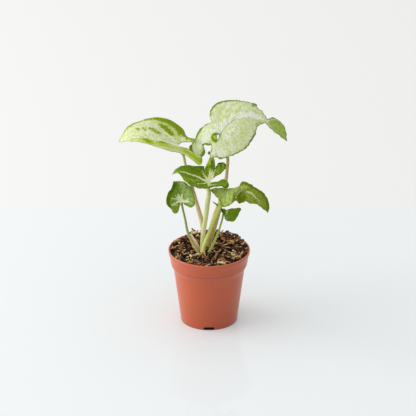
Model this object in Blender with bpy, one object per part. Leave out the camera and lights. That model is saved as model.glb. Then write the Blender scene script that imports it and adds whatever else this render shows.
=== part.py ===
"""Potted syngonium: a young arrowhead plant in a small terracotta-coloured nursery pot.

Lengths are in millimetres and angles in degrees; MM turns lengths into Blender's metres. +X is to the right
of someone who looks at the plant's front, -Y is the front and +Z is up. The origin is on the ground under the
middle of the pot.
"""
import math
import random

import bmesh
import bpy
import numpy as np
from mathutils import Vector
from mathutils.geometry import delaunay_2d_cdt

MM = 0.001
GAP = 0.3

# Pot
POT_HEIGHT = 57.3
RIM_RADIUS = 30.4
LIP_DROP = 5.8
LIP_NECK_RADIUS = 29.15
COLLAR_RADIUS = 28.6
COLLAR_DROP = 10.9
SHOULDER_RADIUS = 26.5
SHOULDER_DROP = 15.6
FOOT_RADIUS = 21.2
WALL = 1.0
FLOOR_TOP = 3.0
PAD_RADIUS = 8.5
CHANNEL_RADIUS = 17.0
CHANNEL_HEIGHT = 2.0
POT_SIDES = 60
NOTCHES = 3
NOTCH_WIDTH = 9.0
NOTCH_TOP_WIDTH = 7.0
NOTCH_HEIGHT = 2.5
DRAIN_RADIUS = 2.0
DRAIN_SEAT = 12.6

# Soil
SOIL_DEPTH_BELOW_RIM = 1.6
SOIL_RISE = 2.4
MOUND = 1.2
MOUND_PLACE = (-6.0, -8.0)
MOUND_SPREAD = 7.0
SOIL_SIDES = 36
SOIL_RINGS = 5
CHIP_COUNT = 64
CHIP_LENGTH = (3.5, 7.5)
CHIP_WIDTH = (1.6, 3.2)
CHIP_THICKNESS = (1.2, 2.0)
CHIP_SEED = 12
CLEAR_OF_STALKS = 8.0

# Stalks
STALK_SIDES = 10
STALK_FOOT = 47.0
NECK = 2.6
ATTACH = 1.4

# Blades
BLADE_THICKNESS = 0.6
BLADE_SPACING = 3.2

# Each leaf lies in a frame of its own, with its origin close to where the stalk meets the blade. heading
# turns the frame about +Z, pitch lifts its tip and roll lifts its left side. A row is (along the midrib,
# across it, lift above the frame's plane); left and right run along the margin from the tip to the notch
# between the basal lobes. attach is how far along the midrib the stalk meets the blade, where that isn't
# ATTACH.
LEAVES = {
    "a": dict(
        joint=(-22.5, 2.0, 139.8), heading=172, pitch=2, roll=-8,
        left=[(44.5, 0, -1.5), (37.5, 5, 3), (31, 9, 5.5), (25, 11, 6.5), (15, 14, 6), (7, 15, 4.5),
              (0, 11.5, 1), (-3, 10, 0), (-7.5, 11, -1.5), (-11, 12.8, -2.5), (-16.5, 14.8, -5.5),
              (-18.6, 13, -6.5), (-18.7, 6, -7), (-17, 1.4, -6), (-13.6, 2.8, -4.3), (-8.5, -0.2, -3),
              (-4.8, -1, -2), (0, 0, 0)],
        right=[(44.5, 0, -1.5), (40, -14, 4), (32, -18, 7), (24.5, -21.5, 8.5), (18, -23.5, 8.5),
               (13, -23.5, 8), (5.5, -22.5, 5.5), (-1, -18.5, 2.5), (-3.5, -12.5, 2), (-6, -9, 2.2),
               (-9.5, -7.8, 2.4), (-12, -6.6, 2.2), (-11.6, -4.4, 1.6), (-8, -3.7, 1.4), (-4.5, -4, 1.2),
               (-1.6, -3.2, 0.5), (0, 0, 0)],
        midrib=[(9, 0, 4), (21, 0, 5.5), (30.5, 0, 5), (39.5, 0, 2)]),
    "b": dict(
        joint=(7.2, 8.0, 144.0), heading=25, pitch=8, roll=48,
        left=[(51.5, -17, -9), (53.5, -7.5, -7), (51.8, -1.8, -6), (49, 1, -5), (47.6, 2.8, -4.5),
              (44.5, 2.6, -3.5), (41.4, 2.8, -2.3), (40.2, 5.4, -0.5), (39, 8.5, 0.5), (36.8, 11.6, 1),
              (35.9, 12.9, 1), (37.4, 13.9, 1), (35.2, 16.4, 0.5), (32, 18.5, 0), (28, 21, -0.5),
              (21, 24.5, -2), (10, 26, -3), (3.5, 22.5, -3), (0.5, 18, -2), (-0.6, 13, -1.5),
              (-3.5, 13, -2.5), (-9, 11.8, -5), (-13.2, 8.5, -6.5), (-16, 5, -8), (-20.5, 2.5, -10),
              (-22, -4.5, -11), (-20, -8.5, -10), (-15.6, -8.3, -8.4), (-12.6, -6.8, -6.4),
              (-11.8, -3.7, -5.4), (-12.4, -1.2, -5), (-11.6, -0.3, -4.4), (-9.5, -1.4, -3.3),
              (-7.3, -2.9, -2.3)],
        right=[(51.5, -17, -9), (43, -6, -6), (38.5, -0.4, -2), (35, -0.6, -0.5), (31.5, -1.3, 0),
               (28.8, -4, 0), (27.8, -6, 0), (21.8, -10.8, 0.5), (15.8, -14.5, 0.5), (7.5, -16.2, 0.5),
               (0.5, -16.4, 0), (-5.5, -16, -0.5), (-8, -13.5, -1), (-12, -12.7, -2), (-11.4, -10.6, -1.8),
               (-9.8, -8.1, -1.6), (-7.9, -5.2, -1.8), (-7.3, -2.9, -2.3)],
        midrib=[(7, 5.5, 1), (13, 7.5, 2), (19, 8.5, 2.5), (25, 9, 2.5), (31, 8, 1.5), (36, 5.5, 0),
                (40, 1.5, -2), (45.5, -5, -5)],
        inner=[(0, 0, 0)]),
    "c": dict(
        joint=(0.6, -8.0, 115.9), heading=176, pitch=4, roll=-14,
        left=[(28.5, 0, 2), (25.5, 2, 6), (22, 4.5, 7), (19, 10.5, 7.5), (16, 15, 8), (12.5, 16.5, 7),
              (8, 16, 5), (3, 13.5, 3), (-1.5, 9.5, 1.5), (-8.5, 6.5, 1), (-13, 8.5, 1), (-14, 1.5, 0),
              (-10.5, -3, 0.5), (-6.5, -1, 0), (-3, 1, 0), (0, 0, 0)],
        right=[(28.5, 0, 2), (26, -2.5, 5.5), (22.5, -5, 7), (18, -7, 7), (12.5, -8.5, 6), (8, -11.5, 4.5),
               (5.8, -11.8, 4.2), (5.2, -9.5, 3.4), (5, -8, 3.4), (4.4, -9.2, 6), (3.3, -10.6, 8.4),
               (2.3, -12, 10.6), (1.2, -13.2, 12), (-0.4, -13.6, 12), (-1.8, -12.4, 10), (-2.4, -10.8, 7),
               (-2.7, -9.5, 4.5), (-3.5, -13, 4), (-5, -17, 4.5), (-8, -17.4, 5), (-10.2, -14.8, 5),
               (-10.4, -11, 4.5), (-8.8, -8, 3.8), (-6.2, -5.2, 2.7), (-2.8, -3.2, 1), (0, 0, 0)],
        midrib=[(4, 0, 1.5), (10.5, 0, 4), (17.5, 0, 6), (22, 0, 6.5), (25.5, 0, 5.5)]),
    "d": dict(
        joint=(12.4, -6.0, 108.6), heading=-8, pitch=-2, roll=35,
        left=[(32.5, -14.5, -5), (33, -9.2, -4.5), (32.1, -6, -3.2), (30.2, -2.6, -1.8), (26, 0.9, 0),
              (21.5, 2.7, 1), (17.5, 5.3, 1), (14, 6.7, 1), (12, 7.5, 0.6), (10.3, 6.3, 0.4), (9.5, 4, 0.1),
              (8.3, 2.3, 0), (4, 1.2, -0.3), (0, 0, 0)],
        right=[(32.5, -14.5, -5), (31, -13, -4.5), (27.5, -11.5, -3), (23.5, -9.5, -1.5), (19.5, -10, -1),
               (15, -8.5, -1), (12, -10.5, -1), (10.3, -10, -1.5), (9.4, -9.3, -0.5), (8, -10.5, 2),
               (6, -14, 3), (3.5, -16, 3), (1, -17, 2.5), (-1, -16, 2), (-3.5, -11, 1.5), (-7, -7, 1),
               (-11, -2, 0.5), (-8, 0, 0), (-3.5, 0.5, 0), (0, 0, 0)],
        midrib=[(7.5, 0.5, 1.5), (14, -1, 2), (18, -1.5, 2), (22.5, -4, 1), (27.5, -7, -1)],
        inner=[(9, -6, 2), (10, -2, 2), (10.5, -4.5, -1), (11.5, -1.5, -0.5), (1.5, -7, 1.5),
               (23, -6.5, 0)]),
    "e": dict(
        joint=(-19.9, -10.0, 99.9), heading=100, pitch=45, roll=0,
        left=[(20, 1, -9), (18.5, 4, -5), (15, 5, 1.5), (9.5, 7.5, 3), (7.5, 9.5, 3), (3, 11.5, 3),
              (0, 12, 2.5), (-2.5, 11.5, 2), (-5, 9, 1), (-7.5, 7.5, 0), (-8.5, 6, -0.5), (-8, 4.5, -0.5),
              (-6, 3, -0.5), (-3, 2, 0), (0, 0, 0)],
        right=[(20, 1, -9), (18.5, -3, -6), (15.5, -3.5, 0.5), (13.5, -5, 1.5), (10, -7.5, 2.5),
               (6, -8.5, 3), (1, -9, 3), (-3, -9, 2), (-4.5, -7.5, 1), (-5, -5.5, 0.5), (-3.5, -3.5, 0),
               (-2, -1.5, 0), (0, 0, 0)],
        midrib=[(4.5, 0.5, 1), (9, 1.5, 1), (13.5, 2, 0.5), (17, 1.5, -1.5)]),
    "f": dict(
        joint=(12.5, 1.0, 86.0), heading=180, pitch=40, roll=-15, attach=0.2,
        left=[(14, -1, 0), (8.6, -0.4, 0), (6, 0.3, 0), (4, 2, 0), (2.5, 3, -0.2), (1, 3.3, -0.4),
              (-2.5, 3.8, -2.5), (-6, 2.5, -2), (-8.5, 1, -1), (-9, -2, 1.5), (-8.5, -5, 4),
              (-8.2, -7.7, 6), (-6.6, -7.8, 6), (-4.5, -6.1, 4.8), (-1.6, -4.3, 3.4), (0.3, -2.6, 1.8)],
        right=[(14, -1, 0), (8.5, -2.2, 0.2), (5.5, -1.9, 0.3), (4.2, -1.5, 0.3), (2.7, -2, 0.8),
               (1.6, -1.9, 0.9), (0.3, -2.6, 1.8)],
        midrib=[(4, 0, 0), (0, 0, 0)]),
}

# Stalks, from below their necks down to the soil: (x, y, z, radius)
STALKS = {
    "a": [(-19.5, 1.5, 133.3, 1.0), (-17.4, 1, 124.8, 1.0), (-12.9, 0.5, 108.3, 1.3),
          (-9.0, 0.2, 93.3, 1.5), (-7.1, 0.1, 85.7, 1.7), (-5.5, 0, 79.7, 1.8), (-4.6, -0.1, 73.6, 1.8),
          (-4.1, -0.3, 66.3, 1.7), (-4.0, -0.4, 58.5, 1.6)],
    "b": [(13.5, 12.5, 126.3, 1.2), (13.2, 11.5, 115.8, 1.2), (12.4, 10, 108.8, 1.35),
          (10.0, 8.3, 97.4, 1.6), (7.8, 6.8, 90, 2.1), (5.5, 6, 82.6, 2.7), (3.3, 5.4, 74.3, 2.8),
          (1.1, 4.8, 66.4, 2.7), (-0.5, 4.4, 60, 2.5), (-1.7, 4, 53.5, 2.2)],
    "c": [(-0.3, -8.5, 107.7, 1.6), (-1.2, -7.9, 98.2, 1.7), (-2.2, -7.4, 89.1, 1.7), (-3.1, -7, 82.4, 1.7),
          (-4.1, -6.7, 75.4, 1.7), (-4.7, -6.4, 68.7, 1.7), (-5.1, -6.1, 61.6, 1.7),
          (-5.2, -5.8, 55.7, 1.6)],
    "d": [(8.6, -5, 98.1, 1.25), (7.5, -4.6, 93.1, 1.25), (5.3, -4.2, 87.2, 1.25), (3.2, -4.4, 82, 1.25),
          (1.1, -5.3, 76.7, 1.25), (-0.9, -7.2, 72.3, 1.25), (-2.8, -9.1, 67.5, 1.3),
          (-4.1, -9.7, 62.9, 1.3), (-4.6, -9.7, 57.9, 1.2)],
    "e": [(-19.5, -7.8, 93.6, 0.8), (-18.4, -8.1, 88.6, 0.8), (-17.4, -8.3, 83.5, 0.85),
          (-16.5, -8.1, 77.6, 0.9), (-15.2, -8, 72.8, 1.0), (-13.8, -7.4, 69.2, 1.05),
          (-12.1, -6.6, 64.7, 1.1), (-10.2, -5.9, 60.7, 1.1), (-8.1, -5.2, 56.4, 1.0)],
    "f": [(9.7, -1, 82, 0.7), (8.2, -2.5, 77.1, 0.75), (7.1, -3.5, 73.5, 0.8), (5.5, -4.6, 69.5, 0.9),
          (3.9, -5.4, 65.8, 1.0), (2.3, -6.2, 62.5, 1.05), (0.6, -6.8, 59.5, 1.0),
          (-1.1, -7.4, 56.5, 0.85)],
}

# A pale root on the bark and a dry sheath beside stalk e: (x, y, z, radius)
ROOT_ROUTE = [(-7.1, -9, 57.7, 0.8), (-8.3, -9.3, 57.3, 0.8), (-10.1, -9.6, 56.8, 0.75),
              (-13.3, -10, 56.3, 0.55)]
SHEATH_ROUTE = [(-13.7, -5.6, 71.8, 0.8), (-12.4, -5, 68.1, 1.4), (-10.6, -4.4, 64.1, 1.8),
                (-9.1, -3.8, 60.3, 1.9), (-8.3, -3.2, 56.5, 1.5)]
SHEATH_FLATNESS = 0.35

COLOURS = {
    "pot": (0.50, 0.145, 0.075),
    "soil": (0.085, 0.038, 0.018),
    "leaf_a": (0.55, 0.66, 0.28),
    "leaf_b": (0.60, 0.70, 0.38),
    "leaf_c": (0.12, 0.24, 0.02),
    "leaf_d": (0.18, 0.30, 0.05),
    "leaf_e": (0.14, 0.26, 0.04),
    "leaf_f": (0.10, 0.20, 0.02),
    "stalk": (0.42, 0.46, 0.18),
    "root": (0.62, 0.52, 0.33),
    "sheath": (0.42, 0.29, 0.17),
}


def clear_scene():
    for obj in list(bpy.data.objects):
        bpy.data.objects.remove(obj, do_unlink=True)


def material(name, colour, roughness):
    mat = bpy.data.materials.new(name)
    mat.use_nodes = True
    shader = mat.node_tree.nodes["Principled BSDF"]
    shader.inputs["Base Color"].default_value = (*colour, 1.0)
    shader.inputs["Roughness"].default_value = roughness
    shader.inputs["Metallic"].default_value = 0.0
    return mat


def add_object(name, points, faces, colour, roughness=0.5):
    """One mesh object from points in millimetres, with its faces turned outward."""
    mesh = bpy.data.meshes.new(name)
    mesh.from_pydata([tuple(MM * c for c in p) for p in points], [], faces)
    bm = bmesh.new()
    bm.from_mesh(mesh)
    bmesh.ops.recalc_face_normals(bm, faces=bm.faces)
    bmesh.ops.triangulate(bm, faces=bm.faces)
    bm.to_mesh(mesh)
    bm.free()
    mesh.shade_smooth()
    mesh.set_sharp_from_angle(angle=math.radians(40))
    mesh.materials.append(material(name, colour, roughness))
    obj = bpy.data.objects.new(name, mesh)
    bpy.context.scene.collection.objects.link(obj)
    return obj


def turned(profile, sides):
    """Points and faces of a profile of (radius, z) turned about Z; it starts and ends on the axis."""
    points = [(0.0, 0.0, profile[0][1])]
    for radius, z in profile[1:-1]:
        for k in range(sides):
            turn = 2 * math.pi * k / sides
            points.append((radius * math.cos(turn), radius * math.sin(turn), z))
    points.append((0.0, 0.0, profile[-1][1]))
    rings = len(profile) - 2
    faces = []
    for k in range(sides):
        n = (k + 1) % sides
        faces.append((0, 1 + n, 1 + k))
        for r in range(rings - 1):
            a, b = 1 + r * sides, 1 + (r + 1) * sides
            faces.append((a + k, a + n, b + n, b + k))
        top = 1 + (rings - 1) * sides
        faces.append((top + k, top + n, len(points) - 1))
    return points, faces


def cut(target, cutters, operation="DIFFERENCE"):
    """Apply one Boolean with several operands, and remove the operands."""
    group = bpy.data.collections.new(target.name + "_operands")
    bpy.context.scene.collection.children.link(group)
    for cutter in cutters:
        group.objects.link(cutter)
    boolean = target.modifiers.new("boolean", "BOOLEAN")
    boolean.operation = operation
    boolean.operand_type = "COLLECTION"
    boolean.collection = group
    boolean.solver = "EXACT"
    depsgraph = bpy.context.evaluated_depsgraph_get()
    mesh = bpy.data.meshes.new_from_object(target.evaluated_get(depsgraph))
    target.modifiers.clear()
    target.data = mesh
    for cutter in cutters:
        bpy.data.objects.remove(cutter, do_unlink=True)
    bpy.data.collections.remove(group)


def smooth_curve(rows, steps):
    """A centripetal Catmull-Rom curve through rows, with steps pieces between neighbours."""
    rows = np.asarray(rows, dtype=float)
    rows = np.vstack([2 * rows[0] - rows[1], rows, 2 * rows[-1] - rows[-2]])
    curve = []
    for p0, p1, p2, p3 in zip(rows, rows[1:], rows[2:], rows[3:]):
        d1, d2, d3 = (math.sqrt(max(np.linalg.norm(b - a), 1e-6)) for a, b in ((p0, p1), (p1, p2), (p2, p3)))
        slope1 = ((p1 - p0) / d1 - (p2 - p0) / (d1 + d2) + (p2 - p1) / d2) * d2
        slope2 = ((p2 - p1) / d2 - (p3 - p1) / (d2 + d3) + (p3 - p2) / d3) * d2
        for k in range(steps):
            t = k / steps
            curve.append((2 * t**3 - 3 * t**2 + 1) * p1 + (t**3 - 2 * t**2 + t) * slope1
                         + (3 * t**2 - 2 * t**3) * p2 + (t**3 - t**2) * slope2)
    curve.append(rows[-2])
    return np.array(curve)


def thin_plate(points, heights, softness=0.5):
    """A smooth function of (n, 2) positions that passes close to heights at points."""
    points = np.asarray(points, dtype=float)
    count = len(points)

    def kernel(where):
        far = np.linalg.norm(where[:, None] - points[None], axis=-1)
        return far**2 * np.log(np.maximum(far, 1e-9))

    system = np.zeros((count + 3, count + 3))
    system[:count, :count] = kernel(points) + softness * np.eye(count)
    system[:count, count] = 1.0
    system[:count, count + 1:] = points
    system[count:, :count] = system[:count, count:].T
    weights = np.linalg.solve(system, np.append(heights, [0.0, 0.0, 0.0]))

    def height(where):
        where = np.asarray(where, dtype=float)
        return kernel(where) @ weights[:count] + weights[count] + where @ weights[count + 1:]

    return height


def turn_axes(heading, pitch, roll):
    """Columns: along the midrib, across it to the left, and up from the blade."""
    h, p, r = (math.radians(angle) for angle in (heading, pitch, roll))
    about_z = np.array([[math.cos(h), -math.sin(h), 0], [math.sin(h), math.cos(h), 0], [0, 0, 1]])
    about_y = np.array([[math.cos(p), 0, -math.sin(p)], [0, 1, 0], [math.sin(p), 0, math.cos(p)]])
    about_x = np.array([[1, 0, 0], [0, math.cos(r), -math.sin(r)], [0, math.sin(r), math.cos(r)]])
    return about_z @ about_y @ about_x


def even_steps(curve, spacing):
    """Points on an open curve at even distances of about spacing, without its last point."""
    lengths = np.append(0.0, np.cumsum(np.linalg.norm(np.diff(curve, axis=0), axis=1)))
    count = max(2, round(lengths[-1] / spacing))
    wanted = np.linspace(0.0, lengths[-1], count + 1)[:-1]
    return np.stack([np.interp(wanted, lengths, curve[:, c]) for c in range(curve.shape[1])], axis=1)


def blade_surface(leaf):
    """The function that puts flat positions (along, across) on the leaf's middle surface, in space."""
    rows = np.array(leaf["left"] + leaf["right"][1:-1] + leaf["midrib"] + leaf.get("inner", []), dtype=float)
    height = thin_plate(rows[:, :2], rows[:, 2])
    axes = turn_axes(leaf["heading"], leaf["pitch"], leaf["roll"])

    def place(flat):
        flat = np.asarray(flat, dtype=float)
        local = np.column_stack([flat, height(flat)])
        return np.array(leaf["joint"]) + local @ axes.T

    return place


def blade_normals(place, flat, reach=0.2):
    """Unit normals of the blade's surface at flat positions."""
    along = place(flat + [reach, 0]) - place(flat - [reach, 0])
    across = place(flat + [0, reach]) - place(flat - [0, reach])
    normals = np.cross(along, across)
    return normals / np.linalg.norm(normals, axis=1, keepdims=True)


def flat_triangles(leaf, spacing):
    """The leaf's flat outline filled with triangles: points (n, 2), triangles and the outline's loop."""
    left = even_steps(smooth_curve(np.array(leaf["left"])[:, :2], 8), spacing)
    right = even_steps(smooth_curve(np.array(leaf["right"])[::-1, :2], 8), spacing)
    outline = np.vstack([left, right])
    size = len(outline)
    low, high = outline.min(axis=0), outline.max(axis=0)
    ends = np.roll(outline, -1, axis=0)
    inside = []
    row_step = spacing * math.sqrt(3) / 2
    for r, y in enumerate(np.arange(low[1], high[1], row_step)):
        for x in np.arange(low[0] + (r % 2) * spacing / 2, high[0], spacing):
            crossings = (outline[:, 1] > y) != (ends[:, 1] > y)
            a, b = outline[crossings], ends[crossings]
            hits = np.sum(x < a[:, 0] + (y - a[:, 1]) / (b[:, 1] - a[:, 1]) * (b[:, 0] - a[:, 0]))
            if hits % 2 and np.min(np.linalg.norm(outline - [x, y], axis=1)) > 0.7 * spacing:
                inside.append((x, y))
    points = [Vector(p) for p in outline.tolist() + inside]
    flat, _, triangles, _, _, _ = delaunay_2d_cdt(points, [], [list(range(size))], 1, 1e-5)
    return np.array([tuple(p) for p in flat]), [tuple(t) for t in triangles], size


def blade(name, leaf, colour):
    """A leaf blade: its middle surface, thickened by the same amount on both faces."""
    flat, triangles, size = flat_triangles(leaf, BLADE_SPACING)
    place = blade_surface(leaf)
    middle = place(flat)
    offset = blade_normals(place, flat) * BLADE_THICKNESS / 2
    count = len(flat)
    points = np.vstack([middle + offset, middle - offset])
    faces = list(triangles) + [(c + count, b + count, a + count) for a, b, c in triangles]
    for k in range(size):
        n = (k + 1) % size
        faces += [(n, k, k + count), (n, k + count, n + count)]
    return add_object(name, points, faces, colour, 0.45)


def tube(name, rows, colour, grow=0.0, flatness=1.0, steps=2, sides=STALK_SIDES):
    """A closed tapering tube through rows of (x, y, z, radius), grown all round by grow."""
    curve = smooth_curve(rows, steps)
    centres, radii = curve[:, :3], curve[:, 3]
    points, faces = [], []
    side = np.array([0.0, -1.0, 0.0])
    for i, centre in enumerate(centres):
        ahead = centres[min(i + 1, len(centres) - 1)] - centres[max(i - 1, 0)]
        ahead /= np.linalg.norm(ahead)
        if i in (0, len(centres) - 1):
            centre = centre + ahead * (grow if i else -grow)
        thin = side - ahead * (side @ ahead)
        thin /= np.linalg.norm(thin)
        wide = np.cross(ahead, thin)
        for k in range(sides):
            turn = 2 * math.pi * k / sides
            points.append(centre + wide * math.cos(turn) * (radii[i] + grow)
                          + thin * math.sin(turn) * (radii[i] * flatness + grow))
    for i in range(len(centres) - 1):
        for k in range(sides):
            n = (k + 1) % sides
            faces.append((i * sides + k, i * sides + n, (i + 1) * sides + n, (i + 1) * sides + k))
    last = (len(centres) - 1) * sides
    faces += [tuple(range(sides)), tuple(range(last, last + sides))]
    return add_object(name, points, faces, colour)


def stalk_route(key):
    """The stalk's rows: its neck comes square to the blade's underside, and its foot stands in the soil."""
    leaf = LEAVES[key]
    place = blade_surface(leaf)
    flat = np.array([[leaf.get("attach", ATTACH), 0.0]])
    under = -blade_normals(place, flat)[0]
    seat = place(flat)[0] + under * (BLADE_THICKNESS / 2 + GAP)
    rows = STALKS[key]
    radius = rows[0][3]
    foot = (rows[-1][0], rows[-1][1], STALK_FOOT, rows[-1][3] * 0.9)
    return [(*seat, radius), (*(seat + under * NECK), radius)] + rows + [foot]


def pot():
    lip = 0.5
    inner_rim = RIM_RADIUS - WALL
    shoulder = POT_HEIGHT - SHOULDER_DROP
    profile = [
        (0, 0), (PAD_RADIUS, 0), (PAD_RADIUS + WALL, CHANNEL_HEIGHT), (CHANNEL_RADIUS, CHANNEL_HEIGHT),
        (CHANNEL_RADIUS + 0.8, 0), (FOOT_RADIUS - lip, 0), (FOOT_RADIUS, lip), (SHOULDER_RADIUS, shoulder),
        (COLLAR_RADIUS, POT_HEIGHT - COLLAR_DROP), (LIP_NECK_RADIUS, POT_HEIGHT - LIP_DROP),
        (RIM_RADIUS, POT_HEIGHT - lip), (RIM_RADIUS - 0.3, POT_HEIGHT), (inner_rim + 0.2, POT_HEIGHT),
        (inner_rim, POT_HEIGHT - lip), (LIP_NECK_RADIUS - WALL, POT_HEIGHT - LIP_DROP),
        (COLLAR_RADIUS - WALL, POT_HEIGHT - COLLAR_DROP), (SHOULDER_RADIUS - WALL, shoulder),
        (FOOT_RADIUS - WALL + 0.4, FLOOR_TOP), (0, FLOOR_TOP),
    ]
    body = add_object("pot", *turned(profile, POT_SIDES), COLOURS["pot"], 0.5)
    cutters = []
    for k in range(NOTCHES):
        turn = -math.pi / 2 + 2 * math.pi * k / NOTCHES
        cutters += [notch_cutter(turn), drain_cutter(turn)]
    cut(body, cutters)
    return body


def along(turn, distance, sideways, z):
    """A point given by its distance from the pot's axis in a direction, and sideways from it."""
    return (distance * math.cos(turn) - sideways * math.sin(turn),
            distance * math.sin(turn) + sideways * math.cos(turn), z)


def notch_cutter(turn):
    near, far = CHANNEL_RADIUS - 1.0, FOOT_RADIUS + 3.0
    half, top = NOTCH_WIDTH / 2, NOTCH_TOP_WIDTH / 2
    section = ((-half, -1.0), (half, -1.0), (half, 0.0), (top, NOTCH_HEIGHT), (-top, NOTCH_HEIGHT),
               (-half, 0.0))
    points = [along(turn, d, s, z) for d in (near, far) for s, z in section]
    n = len(section)
    faces = [tuple(range(n)), tuple(range(n, 2 * n))]
    faces += [(k, (k + 1) % n, n + (k + 1) % n, n + k) for k in range(n)]
    return add_object("notch_cutter", points, faces, COLOURS["pot"])


def drain_cutter(turn):
    x, y, _ = along(turn, DRAIN_SEAT, 0.0, 0.0)
    rows = [(x, y, CHANNEL_HEIGHT - 1.0, DRAIN_RADIUS), (x, y, FLOOR_TOP + 1.0, DRAIN_RADIUS)]
    return tube("drain_cutter", rows, COLOURS["pot"], steps=1, sides=16)


def soil_rise(x, y):
    """The soil is heaped towards the back right and around the stalks, and is a little uneven."""
    back = (0.85 * y + 0.5 * x) / RIM_RADIUS
    heap = SOIL_RISE * min(1.0, max(0.0, 0.35 + back))
    far = math.hypot(x - MOUND_PLACE[0], y - MOUND_PLACE[1]) / MOUND_SPREAD
    return heap + MOUND * math.exp(-far * far) + 0.3 * math.sin(0.45 * x + 1.0) * math.cos(0.5 * y)


def chip(rng, index):
    """A loose piece of bark, sunk to its middle in the soil."""
    while True:
        turn = rng.uniform(0, 2 * math.pi)
        reach = (RIM_RADIUS - 6.0) * math.sqrt(rng.random())
        x, y = reach * math.cos(turn), reach * math.sin(turn)
        if math.hypot(x + 4.0, y + 3.0) > CLEAR_OF_STALKS:
            break
    length, width = rng.uniform(*CHIP_LENGTH), rng.uniform(*CHIP_WIDTH)
    thickness = rng.uniform(*CHIP_THICKNESS)
    heading, pitch, roll = rng.uniform(0, 180), rng.uniform(-14, 14), rng.uniform(-14, 14)
    axes = turn_axes(heading, pitch, roll)
    z = POT_HEIGHT - SOIL_DEPTH_BELOW_RIM + soil_rise(x, y) + 0.1
    corners = []
    for c in (-1, 1):
        for a, b in ((-1, -1), (1, -1), (1, 1), (-1, 1)):
            corner = [a * length / 2 * rng.uniform(0.75, 1), b * width / 2 * rng.uniform(0.7, 1),
                      c * thickness / 2]
            corners.append(np.array([x, y, z]) + axes @ corner)
    faces = [(0, 1, 2, 3), (4, 5, 6, 7)] + [(k, (k + 1) % 4, 4 + (k + 1) % 4, 4 + k) for k in range(4)]
    return add_object(f"chip_{index}", corners, faces, COLOURS["soil"])


def soil():
    level = POT_HEIGHT - SOIL_DEPTH_BELOW_RIM
    shoulder = POT_HEIGHT - SHOULDER_DROP
    edge = RIM_RADIUS - WALL - GAP - 0.35
    slack = GAP + 0.1
    profile = [
        (0, FLOOR_TOP + GAP), (FOOT_RADIUS - WALL, FLOOR_TOP + GAP),
        (SHOULDER_RADIUS - WALL - slack, shoulder), (COLLAR_RADIUS - WALL - slack, POT_HEIGHT - COLLAR_DROP),
        (LIP_NECK_RADIUS - WALL - slack, POT_HEIGHT - LIP_DROP),
    ]
    profile += [(edge * (1 - r / SOIL_RINGS), level) for r in range(SOIL_RINGS)] + [(0, level)]
    points, faces = turned(profile, SOIL_SIDES)
    points = [(x, y, z + soil_rise(x, y) if z == level else z) for x, y, z in points]
    body = add_object("soil", points, faces, COLOURS["soil"], 0.95)
    rng = random.Random(CHIP_SEED)
    cut(body, [chip(rng, k) for k in range(CHIP_COUNT)], "UNION")
    cutters = [tube("hole_" + key, stalk_route(key), COLOURS["soil"], grow=GAP) for key in STALKS]
    cutters.append(tube("root_groove", ROOT_ROUTE, COLOURS["soil"], grow=GAP))
    cutters.append(tube("sheath_slot", SHEATH_ROUTE, COLOURS["soil"], grow=GAP, flatness=SHEATH_FLATNESS))
    cut(body, cutters)
    return body


clear_scene()
pieces = [pot(), soil()]
for letter, blade_rows in LEAVES.items():
    pieces.append(blade("leaf_" + letter, blade_rows, COLOURS["leaf_" + letter]))
    pieces.append(tube("petiole_" + letter, stalk_route(letter), COLOURS["stalk"]))
pieces.append(tube("aerial_root", ROOT_ROUTE, COLOURS["root"]))
pieces.append(tube("sheath", SHEATH_ROUTE, COLOURS["sheath"], flatness=SHEATH_FLATNESS))
plant = bpy.data.objects.new("potted_plant", None)
bpy.context.scene.collection.objects.link(plant)
for piece in pieces:
    piece.parent = plant
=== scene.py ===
"""Looks of the potted syngonium: fine leaves, stalks, bark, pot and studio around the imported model.

Lengths are in millimetres and angles in degrees until MM turns them into Blender's metres. Colours are sRGB triples
of 0 to 255 until linear() turns them into Blender's. +X is to the right of someone who looks at the plant's front,
-Y is the front and +Z is up.
"""
import math
import random

import bmesh
import bpy
import numpy as np
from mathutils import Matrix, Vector
from mathutils.geometry import delaunay_2d_cdt


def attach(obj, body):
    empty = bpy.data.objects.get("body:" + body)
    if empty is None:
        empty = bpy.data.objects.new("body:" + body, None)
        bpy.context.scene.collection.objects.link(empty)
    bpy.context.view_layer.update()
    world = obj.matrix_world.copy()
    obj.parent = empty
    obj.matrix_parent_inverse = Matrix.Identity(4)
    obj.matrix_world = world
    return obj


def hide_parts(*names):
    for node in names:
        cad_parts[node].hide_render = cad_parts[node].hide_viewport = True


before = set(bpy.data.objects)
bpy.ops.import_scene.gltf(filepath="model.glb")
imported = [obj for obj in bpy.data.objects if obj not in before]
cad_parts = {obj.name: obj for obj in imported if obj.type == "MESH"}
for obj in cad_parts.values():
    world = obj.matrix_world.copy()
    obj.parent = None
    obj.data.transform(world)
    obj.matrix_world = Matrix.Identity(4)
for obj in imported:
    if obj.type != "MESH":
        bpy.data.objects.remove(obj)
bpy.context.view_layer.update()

MM = 0.001

# Camera and studio
LENS = 200.0
SENSOR = 36.0
CAMERA_PITCH = 24.3
CAMERA_DISTANCE = 1708.0
CAMERA_TARGET = (-0.85, 0.0, 90.6)
FLOOR_RADIUS = 6000.0
HORIZON = (192.0, 202.0)

# Pot, as in the model
POT_HEIGHT = 57.3
RIM_RADIUS = 30.4
LIP_DROP = 5.8
LIP_NECK_RADIUS = 29.15
COLLAR_RADIUS = 28.6
COLLAR_DROP = 10.9
SHOULDER_RADIUS = 26.5
SHOULDER_DROP = 15.6
FOOT_RADIUS = 21.2
WALL = 1.0
FLOOR_TOP = 3.0
PAD_RADIUS = 8.5
CHANNEL_RADIUS = 17.0
CHANNEL_HEIGHT = 2.0
NOTCHES = 3
NOTCH_WIDTH = 9.0
NOTCH_TOP_WIDTH = 7.0
NOTCH_HEIGHT = 2.5
DRAIN_RADIUS = 2.0
DRAIN_SEAT = 12.6
POT_SIDES = 180

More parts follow.
